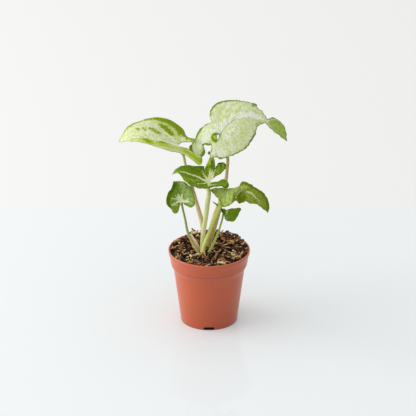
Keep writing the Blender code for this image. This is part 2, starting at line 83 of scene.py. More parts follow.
# Soil
SOIL_DEPTH_BELOW_RIM = 1.6
SOIL_RISE = 2.4
MOUND = 1.2
MOUND_PLACE = (-6.0, -8.0)
MOUND_SPREAD = 7.0
CHIP_SEED = 21
CHIP_COUNT = 1250

# Blades and stalks
BLADE_THICKNESS = 0.45
EDGE_THINNING = 1.6
STALK_FOOT = 51.0
NECK = 2.6
ATTACH = 1.4

# Each leaf lies in a frame of its own, whose origin is where the stalk meets the blade. heading turns the frame
# about +Z, pitch lifts its tip and roll lifts its left side. A row is (along the midrib, across it, lift above the
# frame's plane); left and right run along the margin from the tip to the notch between the basal lobes. These rows
# are the model's own.
LEAVES = {
    "a": dict(
        joint=(-22.5, 2.0, 139.8), heading=172, pitch=2, roll=-8,
        left=[(44.5, 0, -1.5), (37.5, 5, 3), (31, 9, 5.5), (25, 11, 6.5), (15, 14, 6), (7, 15, 4.5),
              (0, 11.5, 1), (-3, 10, 0), (-7.5, 11, -1.5), (-11, 12.8, -2.5), (-16.5, 14.8, -5.5),
              (-18.6, 13, -6.5), (-18.7, 6, -7), (-17, 1.4, -6), (-13.6, 2.8, -4.3), (-8.5, -0.2, -3),
              (-4.8, -1, -2), (0, 0, 0)],
        right=[(44.5, 0, -1.5), (40, -14, 4), (32, -18, 7), (24.5, -21.5, 8.5), (18, -23.5, 8.5),
               (13, -23.5, 8), (5.5, -22.5, 5.5), (-1, -18.5, 2.5), (-3.5, -12.5, 2), (-6, -9, 2.2),
               (-9.5, -7.8, 2.4), (-12, -6.6, 2.2), (-11.6, -4.4, 1.6), (-8, -3.7, 1.4), (-4.5, -4, 1.2),
               (-1.6, -3.2, 0.5), (0, 0, 0)],
        midrib=[(9, 0, 4), (21, 0, 5.5), (30.5, 0, 5), (39.5, 0, 2)]),
    "b": dict(
        joint=(7.2, 8.0, 144.0), heading=25, pitch=8, roll=48,
        left=[(51.5, -17, -9), (53.5, -7.5, -7), (51.8, -1.8, -6), (49, 1, -5), (47.6, 2.8, -4.5),
              (44.5, 2.6, -3.5), (41.4, 2.8, -2.3), (40.2, 5.4, -0.5), (39, 8.5, 0.5), (36.8, 11.6, 1),
              (35.9, 12.9, 1), (37.4, 13.9, 1), (35.2, 16.4, 0.5), (32, 18.5, 0), (28, 21, -0.5),
              (21, 24.5, -2), (10, 26, -3), (3.5, 22.5, -3), (0.5, 18, -2), (-0.6, 13, -1.5),
              (-3.5, 13, -2.5), (-9, 11.8, -5), (-13.2, 8.5, -6.5), (-16, 5, -8), (-20.5, 2.5, -10),
              (-22, -4.5, -11), (-20, -8.5, -10), (-15.6, -8.3, -8.4), (-12.6, -6.8, -6.4),
              (-11.8, -3.7, -5.4), (-12.4, -1.2, -5), (-11.6, -0.3, -4.4), (-9.5, -1.4, -3.3),
              (-7.3, -2.9, -2.3)],
        right=[(51.5, -17, -9), (43, -6, -6), (38.5, -0.4, -2), (35, -0.6, -0.5), (31.5, -1.3, 0),
               (28.8, -4, 0), (27.8, -6, 0), (21.8, -10.8, 0.5), (15.8, -14.5, 0.5), (7.5, -16.2, 0.5),
               (0.5, -16.4, 0), (-5.5, -16, -0.5), (-8, -13.5, -1), (-12, -12.7, -2), (-11.4, -10.6, -1.8),
               (-9.8, -8.1, -1.6), (-7.9, -5.2, -1.8), (-7.3, -2.9, -2.3)],
        midrib=[(7, 5.5, 1), (13, 7.5, 2), (19, 8.5, 2.5), (25, 9, 2.5), (31, 8, 1.5), (36, 5.5, 0),
                (40, 1.5, -2), (45.5, -5, -5)],
        inner=[(0, 0, 0)]),
    "c": dict(
        joint=(0.6, -8.0, 115.9), heading=176, pitch=4, roll=-14,
        left=[(28.5, 0, 2), (25.5, 2, 6), (22, 4.5, 7), (19, 10.5, 7.5), (16, 15, 8), (12.5, 16.5, 7),
              (8, 16, 5), (3, 13.5, 3), (-1.5, 9.5, 1.5), (-8.5, 6.5, 1), (-13, 8.5, 1), (-14, 1.5, 0),
              (-10.5, -3, 0.5), (-6.5, -1, 0), (-3, 1, 0), (0, 0, 0)],
        right=[(28.5, 0, 2), (26, -2.5, 5.5), (22.5, -5, 7), (18, -7, 7), (12.5, -8.5, 6), (8, -11.5, 4.5),
               (5.8, -11.8, 4.2), (5.2, -9.5, 3.4), (5, -8, 3.4), (4.4, -9.2, 6), (3.3, -10.6, 8.4),
               (2.3, -12, 10.6), (1.2, -13.2, 12), (-0.4, -13.6, 12), (-1.8, -12.4, 10), (-2.4, -10.8, 7),
               (-2.7, -9.5, 4.5), (-3.5, -13, 4), (-5, -17, 4.5), (-8, -17.4, 5), (-10.2, -14.8, 5),
               (-10.4, -11, 4.5), (-8.8, -8, 3.8), (-6.2, -5.2, 2.7), (-2.8, -3.2, 1), (0, 0, 0)],
        midrib=[(4, 0, 1.5), (10.5, 0, 4), (17.5, 0, 6), (22, 0, 6.5), (25.5, 0, 5.5)]),
    "d": dict(
        joint=(12.4, -6.0, 108.6), heading=-8, pitch=-2, roll=35,
        left=[(32.5, -14.5, -5), (33, -9.2, -4.5), (32.1, -6, -3.2), (30.2, -2.6, -1.8), (26, 0.9, 0),
              (21.5, 2.7, 1), (17.5, 5.3, 1), (14, 6.7, 1), (12, 7.5, 0.6), (10.3, 6.3, 0.4), (9.5, 4, 0.1),
              (8.3, 2.3, 0), (4, 1.2, -0.3), (0, 0, 0)],
        right=[(32.5, -14.5, -5), (31, -13, -4.5), (27.5, -11.5, -3), (23.5, -9.5, -1.5), (19.5, -10, -1),
               (15, -8.5, -1), (12, -10.5, -1), (10.3, -10, -1.5), (9.4, -9.3, -0.5), (8, -10.5, 2),
               (6, -14, 3), (3.5, -16, 3), (1, -17, 2.5), (-1, -16, 2), (-3.5, -11, 1.5), (-7, -7, 1),
               (-11, -2, 0.5), (-8, 0, 0), (-3.5, 0.5, 0), (0, 0, 0)],
        midrib=[(7.5, 0.5, 1.5), (14, -1, 2), (18, -1.5, 2), (22.5, -4, 1), (27.5, -7, -1)],
        inner=[(9, -6, 2), (10, -2, 2), (10.5, -4.5, -1), (11.5, -1.5, -0.5), (1.5, -7, 1.5),
               (23, -6.5, 0)]),
    "e": dict(
        joint=(-19.9, -10.0, 99.9), heading=100, pitch=45, roll=0,
        left=[(20, 1, -9), (18.5, 4, -5), (15, 5, 1.5), (9.5, 7.5, 3), (7.5, 9.5, 3), (3, 11.5, 3),
              (0, 12, 2.5), (-2.5, 11.5, 2), (-5, 9, 1), (-7.5, 7.5, 0), (-8.5, 6, -0.5), (-8, 4.5, -0.5),
              (-6, 3, -0.5), (-3, 2, 0), (0, 0, 0)],
        right=[(20, 1, -9), (18.5, -3, -6), (15.5, -3.5, 0.5), (13.5, -5, 1.5), (10, -7.5, 2.5),
               (6, -8.5, 3), (1, -9, 3), (-3, -9, 2), (-4.5, -7.5, 1), (-5, -5.5, 0.5), (-3.5, -3.5, 0),
               (-2, -1.5, 0), (0, 0, 0)],
        midrib=[(4.5, 0.5, 1), (9, 1.5, 1), (13.5, 2, 0.5), (17, 1.5, -1.5)]),
    "f": dict(
        joint=(12.5, 1.0, 86.0), heading=180, pitch=40, roll=-15, attach=0.2,
        left=[(14, -1, 0), (8.6, -0.4, 0), (6, 0.3, 0), (4, 2, 0), (2.5, 3, -0.2), (1, 3.3, -0.4),
              (-2.5, 3.8, -2.5), (-6, 2.5, -2), (-8.5, 1, -1), (-9, -2, 1.5), (-8.5, -5, 4),
              (-8.2, -7.7, 6), (-6.6, -7.8, 6), (-4.5, -6.1, 4.8), (-1.6, -4.3, 3.4), (0.3, -2.6, 1.8)],
        right=[(14, -1, 0), (8.5, -2.2, 0.2), (5.5, -1.9, 0.3), (4.2, -1.5, 0.3), (2.7, -2, 0.8),
               (1.6, -1.9, 0.9), (0.3, -2.6, 1.8)],
        midrib=[(4, 0, 0), (0, 0, 0)]),
}

# Stalks, from below their necks down to the soil: (x, y, z, radius). These rows are the model's own.
STALKS = {
    "a": [(-19.5, 1.5, 133.3, 1.0), (-17.4, 1, 124.8, 1.0), (-12.9, 0.5, 108.3, 1.3),
          (-9.0, 0.2, 93.3, 1.5), (-7.1, 0.1, 85.7, 1.7), (-5.5, 0, 79.7, 1.8), (-4.6, -0.1, 73.6, 1.8),
          (-4.1, -0.3, 66.3, 1.7), (-4.0, -0.4, 58.5, 1.6)],
    "b": [(13.5, 12.5, 126.3, 1.2), (13.2, 11.5, 115.8, 1.2), (12.4, 10, 108.8, 1.35),
          (10.0, 8.3, 97.4, 1.6), (7.8, 6.8, 90, 2.1), (5.5, 6, 82.6, 2.7), (3.3, 5.4, 74.3, 2.8),
          (1.1, 4.8, 66.4, 2.7), (-0.5, 4.4, 60, 2.5), (-1.7, 4, 53.5, 2.2)],
    "c": [(-0.3, -8.5, 107.7, 1.6), (-1.2, -7.9, 98.2, 1.7), (-2.2, -7.4, 89.1, 1.7), (-3.1, -7, 82.4, 1.7),
          (-4.1, -6.7, 75.4, 1.7), (-4.7, -6.4, 68.7, 1.7), (-5.1, -6.1, 61.6, 1.7),
          (-5.2, -5.8, 55.7, 1.6)],
    "d": [(8.6, -5, 98.1, 1.25), (7.5, -4.6, 93.1, 1.25), (5.3, -4.2, 87.2, 1.25), (3.2, -4.4, 82, 1.25),
          (1.1, -5.3, 76.7, 1.25), (-0.9, -7.2, 72.3, 1.25), (-2.8, -9.1, 67.5, 1.3),
          (-4.1, -9.7, 62.9, 1.3), (-4.6, -9.7, 57.9, 1.2)],
    "e": [(-19.5, -7.8, 93.6, 0.8), (-18.4, -8.1, 88.6, 0.8), (-17.4, -8.3, 83.5, 0.85),
          (-16.5, -8.1, 77.6, 0.9), (-15.2, -8, 72.8, 1.0), (-13.8, -7.4, 69.2, 1.05),
          (-12.1, -6.6, 64.7, 1.1), (-10.2, -5.9, 60.7, 1.1), (-8.1, -5.2, 56.4, 1.0)],
    "f": [(9.7, -1, 82, 0.7), (8.2, -2.5, 77.1, 0.75), (7.1, -3.5, 73.5, 0.8), (5.5, -4.6, 69.5, 0.9),
          (3.9, -5.4, 65.8, 1.0), (2.3, -6.2, 62.5, 1.05), (0.6, -6.8, 59.5, 1.0),
          (-1.1, -7.4, 56.5, 0.85)],
}

ROOT_ROUTE = [(-7.1, -9, 57.7, 0.8), (-8.3, -9.3, 57.3, 0.8), (-10.1, -9.6, 56.8, 0.75),
              (-13.3, -10, 56.3, 0.55)]
ROOTLET_ROUTE = [(-4.1, -11, 62.7, 0.35), (-3.6, -11.8, 60.6, 0.4), (-2.9, -13, 57.9, 0.4),
                 (-2.3, -14, 55.4, 0.25)]
SHEATH_ROUTE = [(-13.7, -5.6, 71.8, 0.8), (-12.4, -5, 68.1, 1.4), (-10.6, -4.4, 64.1, 1.8),
                (-9.1, -3.8, 60.3, 1.9), (-8.3, -3.2, 56.5, 1.5)]

# The rolled margin at blade B's notch, in that blade's flat frame: (along, across, lift, radius).
ROLLED_EDGES = [
    ("sinus_roll", [(1.0, 0.2, 0.2, 0.35), (0.5, 1.8, 0.6, 0.5), (-0.9, 3.2, 0.9, 0.65), (-3.2, 3.2, 1.0, 0.85),
                    (-4.7, 1.6, 1.0, 0.95), (-4.9, -0.4, 0.9, 0.95), (-3.9, -1.9, 0.7, 0.85), (-2.5, -2.1, 0.5, 0.6)]),
    ("sinus_fold", [(-2.7, 2.3, 0.8, 0.8), (-3.0, 1.0, 0.8, 1.3), (-2.7, -0.8, 0.7, 1.1)]),
    ("sinus_gap", [(0.1, 1.5, 1.0, 0.3), (-0.7, 0.4, 1.2, 0.7), (-1.6, -0.7, 1.0, 0.6), (-2.0, -1.3, 0.7, 0.3)]),
    ("notch_lip", [(-12.3, -1.6, 0.3, 0.3), (-11.9, -0.9, 0.4, 0.5), (-10.7, -0.9, 0.4, 0.55), (-9.9, -1.7, 0.4, 0.5),
                   (-9.2, -2.3, 0.3, 0.5), (-8.2, -2.6, 0.3, 0.6), (-7.3, -2.6, 0.3, 0.45)]),
    ("notch_tooth", [(-10.4, -7.4, 0.2, 0.5), (-11.0, -8.4, 0.3, 1.0), (-11.4, -9.6, 0.2, 0.5)]),
]
ROLL_COLOUR = (122, 148, 6)
ROLL_COLOURS = {"sinus_fold": (160, 184, 66), "sinus_gap": (238, 242, 230), "notch_tooth": (92, 124, 10)}

# What shows on each blade, in its flat frame: spine is the midrib, ribs run into the basal lobes, and side veins leave
# them at fractions of their length. A pale or dark stroke is a chain of (along, across, half width).
MARKS = {
    "a": dict(
        spacing=0.62, puff=0.5, groove=0.28, bumps=(0.0, 6.0), ruffle=(0.12, 9.0),
        spine=[(0, 0), (6.5, 2), (14.5, 3), (22, 2.8), (30, 2.5), (37, 1), (44.5, 0)],
        ribs=[[(0, 0), (-4, -2.6), (-8, -5.5), (-11.5, -6)], [(0, 0), (-5, 2.5), (-11, 7), (-17, 11)]],
        pale=[[(0, 0, 0.9), (6.5, 2, 0.8), (14.5, 3, 0.7), (30, 2.5, 0.5), (42, 0.5, 0.3)],
              [(1, -2, 0.3), (5, -12, 0.2), (9.5, -18.5, 0.1)], [(3, -2, 0.7), (8, -6, 0.5), (13, -9.5, 0.3)]],
        dark=[[(16.5, -15.4, 0.8), (13.5, -14.2, 1.8), (10.3, -11.8, 2.4), (7.2, -9, 2.1), (5.2, -8, 1.0)],
              [(22.8, -10, 0.8), (20.1, -8.5, 1.2), (16.6, -6.2, 1.3), (14.2, -5, 0.5)],
              [(28.3, -9.8, 0.4), (25.8, -7.5, 0.7)], [(33, -9.5, 0.4), (30.8, -7.8, 0.7)],
              [(25, 4.8, 0.6), (21.8, 7.2, 1.2), (20, 9, 0.8)], [(12, 6, 0.5), (9.5, 4.8, 0.8)],
              [(44.5, -2, 0.3), (43.5, -7, 0.6), (40.5, -11.2, 0.9), (36, -15.2, 1.1), (31.5, -18, 1.3), (26, -20, 1.7),
               (20.5, -21.5, 2.2), (15, -22, 3.4), (9, -21, 3.8), (4, -19, 3.8), (0, -15.5, 3.4), (-3.5, -10.5, 2.4),
               (-6.5, -8, 1.4), (-10, -6, 0.6)],
              [(8.6, -19.2, 0.8), (5.3, -17.2, 1.2), (2.1, -14, 1.4), (0.1, -9, 0.9)],
              [(-17.5, 3, 0.4), (-18.2, 9, 0.5)]],
        glow=[[(34, 4, 1.0), (20, 9, 3.0), (8, 8, 3.5), (0, 5, 2.5), (-6, 5, 2.0)],
              [(20, -17, 0.8), (12, -17, 1.0), (4, -11, 2.0), (1, -5, 1.2)]],
        ripe=[[(-4, 1, 1.0), (-8, 3, 1.8), (-12, 7, 3.0), (-17, 9, 4.0)], [(-6, -7, 1.5), (-10, -5.5, 1.5)],
              [(28, 2.4, 0.8), (23.8, 4.8, 2.2), (20.8, 7.5, 2.8), (18.5, 10, 2.0)],
              [(14, 6.5, 1.2), (10, 4.5, 2.0), (6.1, 2.6, 1.0)], [(12, 9.5, 0.8), (5, 8, 1.0)]],
        dry=[[(46, -1, 1.2), (44, -2, 0.8)]]),
    "b": dict(
        spacing=0.62, puff=0.3, groove=0.2, bumps=(0.4, 4.2), ruffle=(0.4, 5.5),
        spine=[(0, 0), (2, 1.5), (5.5, 4.2), (10, 6.4), (14.5, 8), (20, 8.8), (26.5, 8.8), (32.5, 6.2), (39, 2),
               (45.5, -5), (51.5, -17)],
        ribs=[[(0, 0), (-4, 4), (-10, 3), (-17, -2), (-18.5, -6)], [(0, 0), (-3, -5), (-6, -11), (-7, -14.5)]],
        pale=[[(18, 8.8, 0.6), (26.5, 9, 1.3), (33, 6, 1.2), (38, 2.5, 0.7)]],
        dark=[[(-1, 13.4, 0.3), (-5.8, 13.2, 0.8), (-9.5, 11, 1.1), (-12.5, 9, 1.2), (-14, 7.6, 1.2), (-17, 4.8, 0.6),
               (-20.5, 1, 1.5), (-21.3, -4, 2.2), (-19.5, -7.5, 1.9), (-15.5, -7.9, 2.2), (-12.8, -6.4, 1.8),
               (-11.7, -3.5, 0.7)],
              [(1, 18.5, 0.7), (4, 23, 1.2), (10, 25.6, 1.3), (21, 24.3, 0.9), (28, 20.8, 0.5)],
              [(34, 16.3, 0.8), (36.6, 13.9, 0.7), (33, 14.5, 0.4)],
              [(-9, -13, 0.4), (-5.8, -15.5, 0.8), (0, -16.8, 0.6), (8, -16.4, 0.9),
               (16, -14.6, 1.1), (22, -10.4, 1.1), (27.6, -5.6, 0.9), (31.5, -1.6, 0.3)],
              [(40.5, 4, 0.2), (44.5, 2.2, 0.4), (47.6, 2.2, 0.6), (52, -2, 0.4), (53, -7.5, 0.3)],
              [(43, -5.6, 0.3), (51, -16, 0.4)]],
        glow=[[(-14, 0, 1.5), (-8, 4, 3.0), (-2, 5, 3.5), (6, 7.5, 3.0), (16, 10.5, 2.0), (27, 9, 2.5), (35, 5, 1.5)],
              [(4, -3, 1.5), (12, 2, 1.5)], [(-9, -10, 1.5), (-2, -12, 2.0)]],
        ripe=[[(43, -1, 1.5), (47, -3, 4.0), (50, -9, 4.0), (51.5, -16, 2.0)], [(30, 0, 0.6), (34, 1, 0.8)]]),
    "c": dict(
        spacing=0.45, puff=0.45, groove=0.15, bumps=(0.1, 5.0), ruffle=(0.25, 6.0),
        spine=[(0, 0), (3, 1.5), (5, 2), (9, 1), (14.5, 1.3), (20, 0.6), (24.5, 1.6), (28.5, 0)],
        ribs=[[(0, 0), (-3.5, 2.8), (-8, 3), (-12.5, 4)], [(0, 0), (-2.5, -4.5), (-5, -9), (-8, -14.5)]],
        pale=[[(0, 0.5, 1.9), (3, 1.5, 1.5), (5, 1.9, 1.3), (9, 1, 1.1), (14.5, 1.4, 0.9), (20, 0.6, 0.7), (24, 1.9, 0.4)],
              [(2, -0.5, 0.9), (3.5, -1.8, 0.6), (5.5, -5, 0.35), (7, -7.5, 0.2)],
              [(1, -1, 1.2), (0.5, -4.5, 0.7), (1, -7, 0.3)], [(0, -2, 1.1), (-0.6, -5, 0.8), (-1, -7.2, 0.4)],
              [(-1, -2, 0.8), (-2, -5, 0.5), (-3, -9, 0.2)], [(-1.5, -2, 0.5), (-5.5, -4.5, 0.25)],
              [(1.5, 2, 1.0), (3, 5, 0.55), (7, 9, 0.25), (9, 11.5, 0.12)],
              [(0, 2, 1.1), (0.5, 5.5, 0.8), (0.5, 8, 0.5)], [(0.5, 8, 0.4), (-2, 5.5, 0.5), (-5, 3.4, 0.2)]],
        dark=[[(-2.4, -12.2, 0.5), (-2.8, -9.6, 0.6)], [(6, -11, 0.3), (5, -8.5, 0.4), (2.5, -8, 0.3)],
              [(-5, -16.5, 0.5), (-8.5, -17, 0.5), (-10, -13.5, 0.4)], [(-8, 5.5, 0.5), (-12.5, 6.5, 0.8), (-13, 2, 0.6)]],
        glow=[[(5, -9.5, 1.2), (3, -11, 2.2), (1, -12.4, 2.4)], [(-4.5, -9, 1.6), (-7, -13, 2.0)],
              [(9, 6, 0.6), (14, 9, 1.0), (18, 8, 0.6)]]),
    "d": dict(
        spacing=0.5, puff=0.45, groove=0.2, bumps=(0.35, 3.2), ruffle=(0.35, 5.0),
        spine=[(0, 0), (7.5, 0.3), (14, -1), (19, -2.5), (21.5, -4.5), (25.5, -7.5), (30.5, -11), (32.5, -14.5)],
        ribs=[[(0, 0), (1.3, -4), (2, -8), (2.3, -13)], [(0, 0), (-3, -1.5), (-7, -3)]],
        pale=[[(1.5, -2, 0.35), (2, -6.5, 0.5), (2, -11.5, 0.3)],
              [(15, -1.5, 0.3), (17, -2, 0.5), (19.5, -2.8, 0.45), (22, -4.9, 0.3), (25.5, -7.3, 0.12)],
              [(8.2, -8.5, 0.1), (9.2, -4, 0.2), (11, -0.8, 0.25), (16, 1.2, 0.15)]],
        dark=[[(10.5, -2.5, 0.5), (9.8, -6, 1.0), (10.8, -8.2, 1.5), (13, -7, 1.7), (15, -5, 1.0)],
              [(10.8, 5.2, 0.8), (13, 6, 1.2), (17.5, 4, 1.2), (22, 1.8, 1.3), (26, 0, 1.3), (30, -3.8, 1.5),
               (31.8, -8, 1.3), (32, -13, 0.8)]],
        glow=[[(-8, -1.5, 2.4), (-3, -5, 3.6), (1, -8, 4.5), (3, -12, 3.5)], [(5, -3, 3.0), (9, 1, 1.6), (14, 2.6, 0.9)]],
        dry=[[(14.5, -1, 0.35), (15.2, -1.2, 0.2)], [(32.6, -13.2, 0.3), (32.6, -15, 0.5)]]),
    "e": dict(
        spacing=0.42, puff=0.45, groove=0.15, bumps=(0.1, 4.5), ruffle=(0.2, 5.0),
        spine=[(0, 0.5), (4.5, 1), (9, 1.8), (13.5, 2.3), (17, 1.8), (20, 1)],
        ribs=[[(0, 0.5), (-1.5, 4), (-4.5, 6.5), (-7, 6.5)], [(0, 0), (-1, -4), (-3, -7.5)]],
        pale=[[(0, 0.5, 1.4), (2, 1, 1.3), (4.3, 2, 0.8), (6.3, 2.4, 0.3)], [(2, 0.5, 1.0), (4.5, -0.3, 0.6), (6.5, -0.7, 0.2)],
              [(1.5, 2, 0.8), (3.2, 3.6, 0.55), (4.8, 4.6, 0.2)], [(1.5, 2, 0.7), (2.2, 5, 0.4), (2.6, 8, 0.2)],
              [(1, 0, 1.2), (0.2, -2.5, 0.9), (-0.5, -5, 0.4)], [(0.2, -2.5, 0.8), (1.5, -4.5, 0.35), (2.4, -4.9, 0.2)],
              [(0.5, 2.5, 0.6), (-0.6, 5, 0.4), (-1, 6.7, 0.2)],
              [(-2, 3.8, 0.25), (-2, 5.5, 0.4), (-2, 8.7, 0.25)]],
        # Blade E's dark stroke is painted shade on its left part, which turns from the light, and its glow stroke is a
        # painted sheen on its lit right half.
        dark=[[(17, 4, 0.4), (12, 5.5, 1.4), (7, 8.8, 1.8), (1, 11, 1.8), (-3, 10, 1.2)]],
        glow=[[(14, -1, 1.5), (9, -3.5, 3.0), (3, -5.5, 3.0), (-2, -6, 2.0)]]),
    "f": dict(
        spacing=0.35, puff=0.3, groove=0.12, bumps=(0.15, 3.5), ruffle=(0.1, 4.0),
        spine=[(0, 0), (4, 0), (9, -0.8), (14, -1)],
        ribs=[[(0, 0), (-1.5, 0.6), (-5, -1.5), (-7.5, -5.5)]],
        pale=[[(0.2, -2.3, 0.3), (0, -0.8, 0.35), (-0.3, 0.6, 0.25)]],
        dark=[[(5, -0.5, 0.6), (3, 0.5, 1.2), (1.5, 1.8, 0.8)]],
        glow=[[(-2.5, 2.2, 1.2), (-1.5, 0.5, 0.8)]]),
}

pieces = []


def linear(red, green, blue):
    """An sRGB colour of 0 to 255 as Blender's linear colour with full alpha."""
    def one(value):
        value /= 255
        return value / 12.92 if value <= 0.04045 else ((value + 0.055) / 1.055) ** 2.4
    return (one(red), one(green), one(blue), 1.0)


class Look:
    """A Principled material under construction, with short ways to add nodes to it."""

    def __init__(self, name, roughness, specular=0.5):
        self.material = bpy.data.materials.new(name)
        self.material.use_nodes = True
        self.tree = self.material.node_tree
        self.shader = self.tree.nodes["Principled BSDF"]
        self.shader.inputs["Roughness"].default_value = roughness
        self.shader.inputs["Specular IOR Level"].default_value = specular

    def feed(self, socket, value):
        if isinstance(value, bpy.types.NodeSocket):
            self.tree.links.new(value, socket)
        else:
            socket.default_value = value

    def attribute(self, name, output="Fac"):
        node = self.tree.nodes.new("ShaderNodeAttribute")
        node.attribute_name = name
        return node.outputs[output]

    def math(self, operation, a, b=0.0):
        node = self.tree.nodes.new("ShaderNodeMath")
        node.operation = operation
        self.feed(node.inputs[0], a)
        self.feed(node.inputs[1], b)
        return node.outputs[0]

    def scaled(self, vector, scale):
        node = self.tree.nodes.new("ShaderNodeMapping")
        self.feed(node.inputs["Vector"], vector)
        node.inputs["Scale"].default_value = scale
        return node.outputs[0]

    def noise(self, vector, scale, detail=3.0, roughness=0.5, distortion=0.0):
        node = self.tree.nodes.new("ShaderNodeTexNoise")
        self.feed(node.inputs["Vector"], vector)
        for name, value in (("Scale", scale), ("Detail", detail), ("Roughness", roughness), ("Distortion", distortion)):
            node.inputs[name].default_value = value
        return node.outputs["Fac"]

    def cells(self, vector, scale, randomness=1.0):
        node = self.tree.nodes.new("ShaderNodeTexVoronoi")
        self.feed(node.inputs["Vector"], vector)
        node.inputs["Scale"].default_value = scale
        node.inputs["Randomness"].default_value = randomness
        return node.outputs["Distance"]

    def mask(self, value, low, high):
        """0 where value is at low, 1 where it is at high, and smooth between; low may be the larger."""
        node = self.tree.nodes.new("ShaderNodeMapRange")
        node.interpolation_type = "SMOOTHSTEP"
        self.feed(node.inputs["Value"], value)
        node.inputs["From Min"].default_value = low
        node.inputs["From Max"].default_value = high
        return node.outputs[0]

    def mix(self, factor, a, b, blend="MIX"):
        node = self.tree.nodes.new("ShaderNodeMix")
        node.data_type = "RGBA"
        node.blend_type = blend
        self.feed(node.inputs["Factor"], factor)
        self.feed(node.inputs[6], a)
        self.feed(node.inputs[7], b)
        return node.outputs[2]

    def ramp(self, value, stops, interpolation="LINEAR"):
        node = self.tree.nodes.new("ShaderNodeValToRGB")
        self.feed(node.inputs["Fac"], value)
        node.color_ramp.interpolation = interpolation
        elements = node.color_ramp.elements
        while len(elements) < len(stops):
            elements.new(0.5)
        for element, (place, colour) in zip(elements, stops):
            element.position = place
            element.color = colour
        return node.outputs["Color"]

    def bump(self, height, distance, strength=1.0):
        node = self.tree.nodes.new("ShaderNodeBump")
        self.feed(node.inputs["Height"], height)
        node.inputs["Strength"].default_value = strength
        node.inputs["Distance"].default_value = distance * MM
        self.tree.links.new(node.outputs["Normal"], self.shader.inputs["Normal"])

    def colour(self, value):
        self.feed(self.shader.inputs["Base Color"], value)

    def rough(self, value):
        self.feed(self.shader.inputs["Roughness"], value)


def add_piece(name, points, faces, look, nodes=(), attributes=None, smooth=180.0):
    """One mesh object from points in millimetres, riding on the part's one body."""
    mesh = bpy.data.meshes.new(name)
    mesh.from_pydata((np.asarray(points) * MM).tolist(), [], [tuple(f) for f in faces])
    for key, values in (attributes or {}).items():
        values = np.asarray(values, dtype=float)
        kind, field = ("FLOAT_VECTOR", "vector") if values.ndim == 2 else ("FLOAT", "value")
        mesh.attributes.new(key, kind, "POINT").data.foreach_set(field, values.ravel())
    mesh.shade_smooth()
    mesh.set_sharp_from_angle(angle=math.radians(smooth))
    mesh.materials.append(look.material)
    piece = bpy.data.objects.new(name, mesh)
    bpy.context.scene.collection.objects.link(piece)
    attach(piece, "root")
    if nodes:
        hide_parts(*nodes)
    pieces.append(piece)
    return piece


def smooth_curve(rows, steps):
    """A centripetal Catmull-Rom curve through rows, with steps pieces between neighbours."""
    rows = np.asarray(rows, dtype=float)
    rows = np.vstack([2 * rows[0] - rows[1], rows, 2 * rows[-1] - rows[-2]])
    curve = []
    for p0, p1, p2, p3 in zip(rows, rows[1:], rows[2:], rows[3:]):
        d1, d2, d3 = (math.sqrt(max(np.linalg.norm(b - a), 1e-6)) for a, b in ((p0, p1), (p1, p2), (p2, p3)))
        slope1 = ((p1 - p0) / d1 - (p2 - p0) / (d1 + d2) + (p2 - p1) / d2) * d2
        slope2 = ((p2 - p1) / d2 - (p3 - p1) / (d2 + d3) + (p3 - p2) / d3) * d2
        for k in range(steps):
            t = k / steps
            curve.append((2 * t**3 - 3 * t**2 + 1) * p1 + (t**3 - 2 * t**2 + t) * slope1
                         + (3 * t**2 - 2 * t**3) * p2 + (t**3 - t**2) * slope2)
    curve.append(rows[-2])
    return np.array(curve)


def smoothstep(value, low, high):
    t = np.clip((value - low) / (high - low), 0.0, 1.0)
    return t * t * (3 - 2 * t)


def thin_plate(points, heights, softness=0.5):
    """A smooth function of (n, 2) positions that passes close to heights at points."""
    points = np.asarray(points, dtype=float)
    count = len(points)

    def kernel(where):
        far = np.linalg.norm(where[:, None] - points[None], axis=-1)
        return far**2 * np.log(np.maximum(far, 1e-9))

    system = np.zeros((count + 3, count + 3))
    system[:count, :count] = kernel(points) + softness * np.eye(count)
    system[:count, count] = 1.0
    system[:count, count + 1:] = points
    system[count:, :count] = system[:count, count:].T
    weights = np.linalg.solve(system, np.append(heights, [0.0, 0.0, 0.0]))

    def height(where):
        where = np.asarray(where, dtype=float)
        return kernel(where) @ weights[:count] + weights[count] + where @ weights[count + 1:]

    return height


def turn_axes(heading, pitch, roll):
    """Columns: along the midrib, across it to the left, and up from the blade."""
    h, p, r = (math.radians(angle) for angle in (heading, pitch, roll))
    about_z = np.array([[math.cos(h), -math.sin(h), 0], [math.sin(h), math.cos(h), 0], [0, 0, 1]])
    about_y = np.array([[math.cos(p), 0, -math.sin(p)], [0, 1, 0], [math.sin(p), 0, math.cos(p)]])
    about_x = np.array([[1, 0, 0], [0, math.cos(r), -math.sin(r)], [0, math.sin(r), math.cos(r)]])
    return about_z @ about_y @ about_x


def even_steps(curve, spacing):
    """Points on an open curve at even distances of about spacing, without its last point."""
    lengths = np.append(0.0, np.cumsum(np.linalg.norm(np.diff(curve, axis=0), axis=1)))
    count = max(2, round(lengths[-1] / spacing))
    wanted = np.linspace(0.0, lengths[-1], count + 1)[:-1]
    return np.stack([np.interp(wanted, lengths, curve[:, c]) for c in range(curve.shape[1])], axis=1)


def blade_surface(leaf):
    """The function that puts flat positions and extra heights on the leaf's middle surface, in space."""
    rows = np.array(leaf["left"] + leaf["right"][1:-1] + leaf["midrib"] + leaf.get("inner", []), dtype=float)
    height = thin_plate(rows[:, :2], rows[:, 2])
    axes = turn_axes(leaf["heading"], leaf["pitch"], leaf["roll"])

    def place(flat, extra=0.0):
        flat = np.asarray(flat, dtype=float)
        local = np.column_stack([flat, height(flat) + extra])
        return np.array(leaf["joint"]) + local @ axes.T

    return place


def crossings(outline, points):
    """Which of the points lie inside a closed flat outline."""
    ends = np.roll(outline, -1, axis=0)
    x, y = points[:, :1], points[:, 1:]
    spans = (outline[:, 1] > y) != (ends[:, 1] > y)
    slope = np.where(ends[:, 1] == outline[:, 1], 1.0, ends[:, 1] - outline[:, 1])
    at = outline[:, 0] + (y - outline[:, 1]) / slope * (ends[:, 0] - outline[:, 0])
    return np.sum(spans & (x < at), axis=1) % 2 == 1


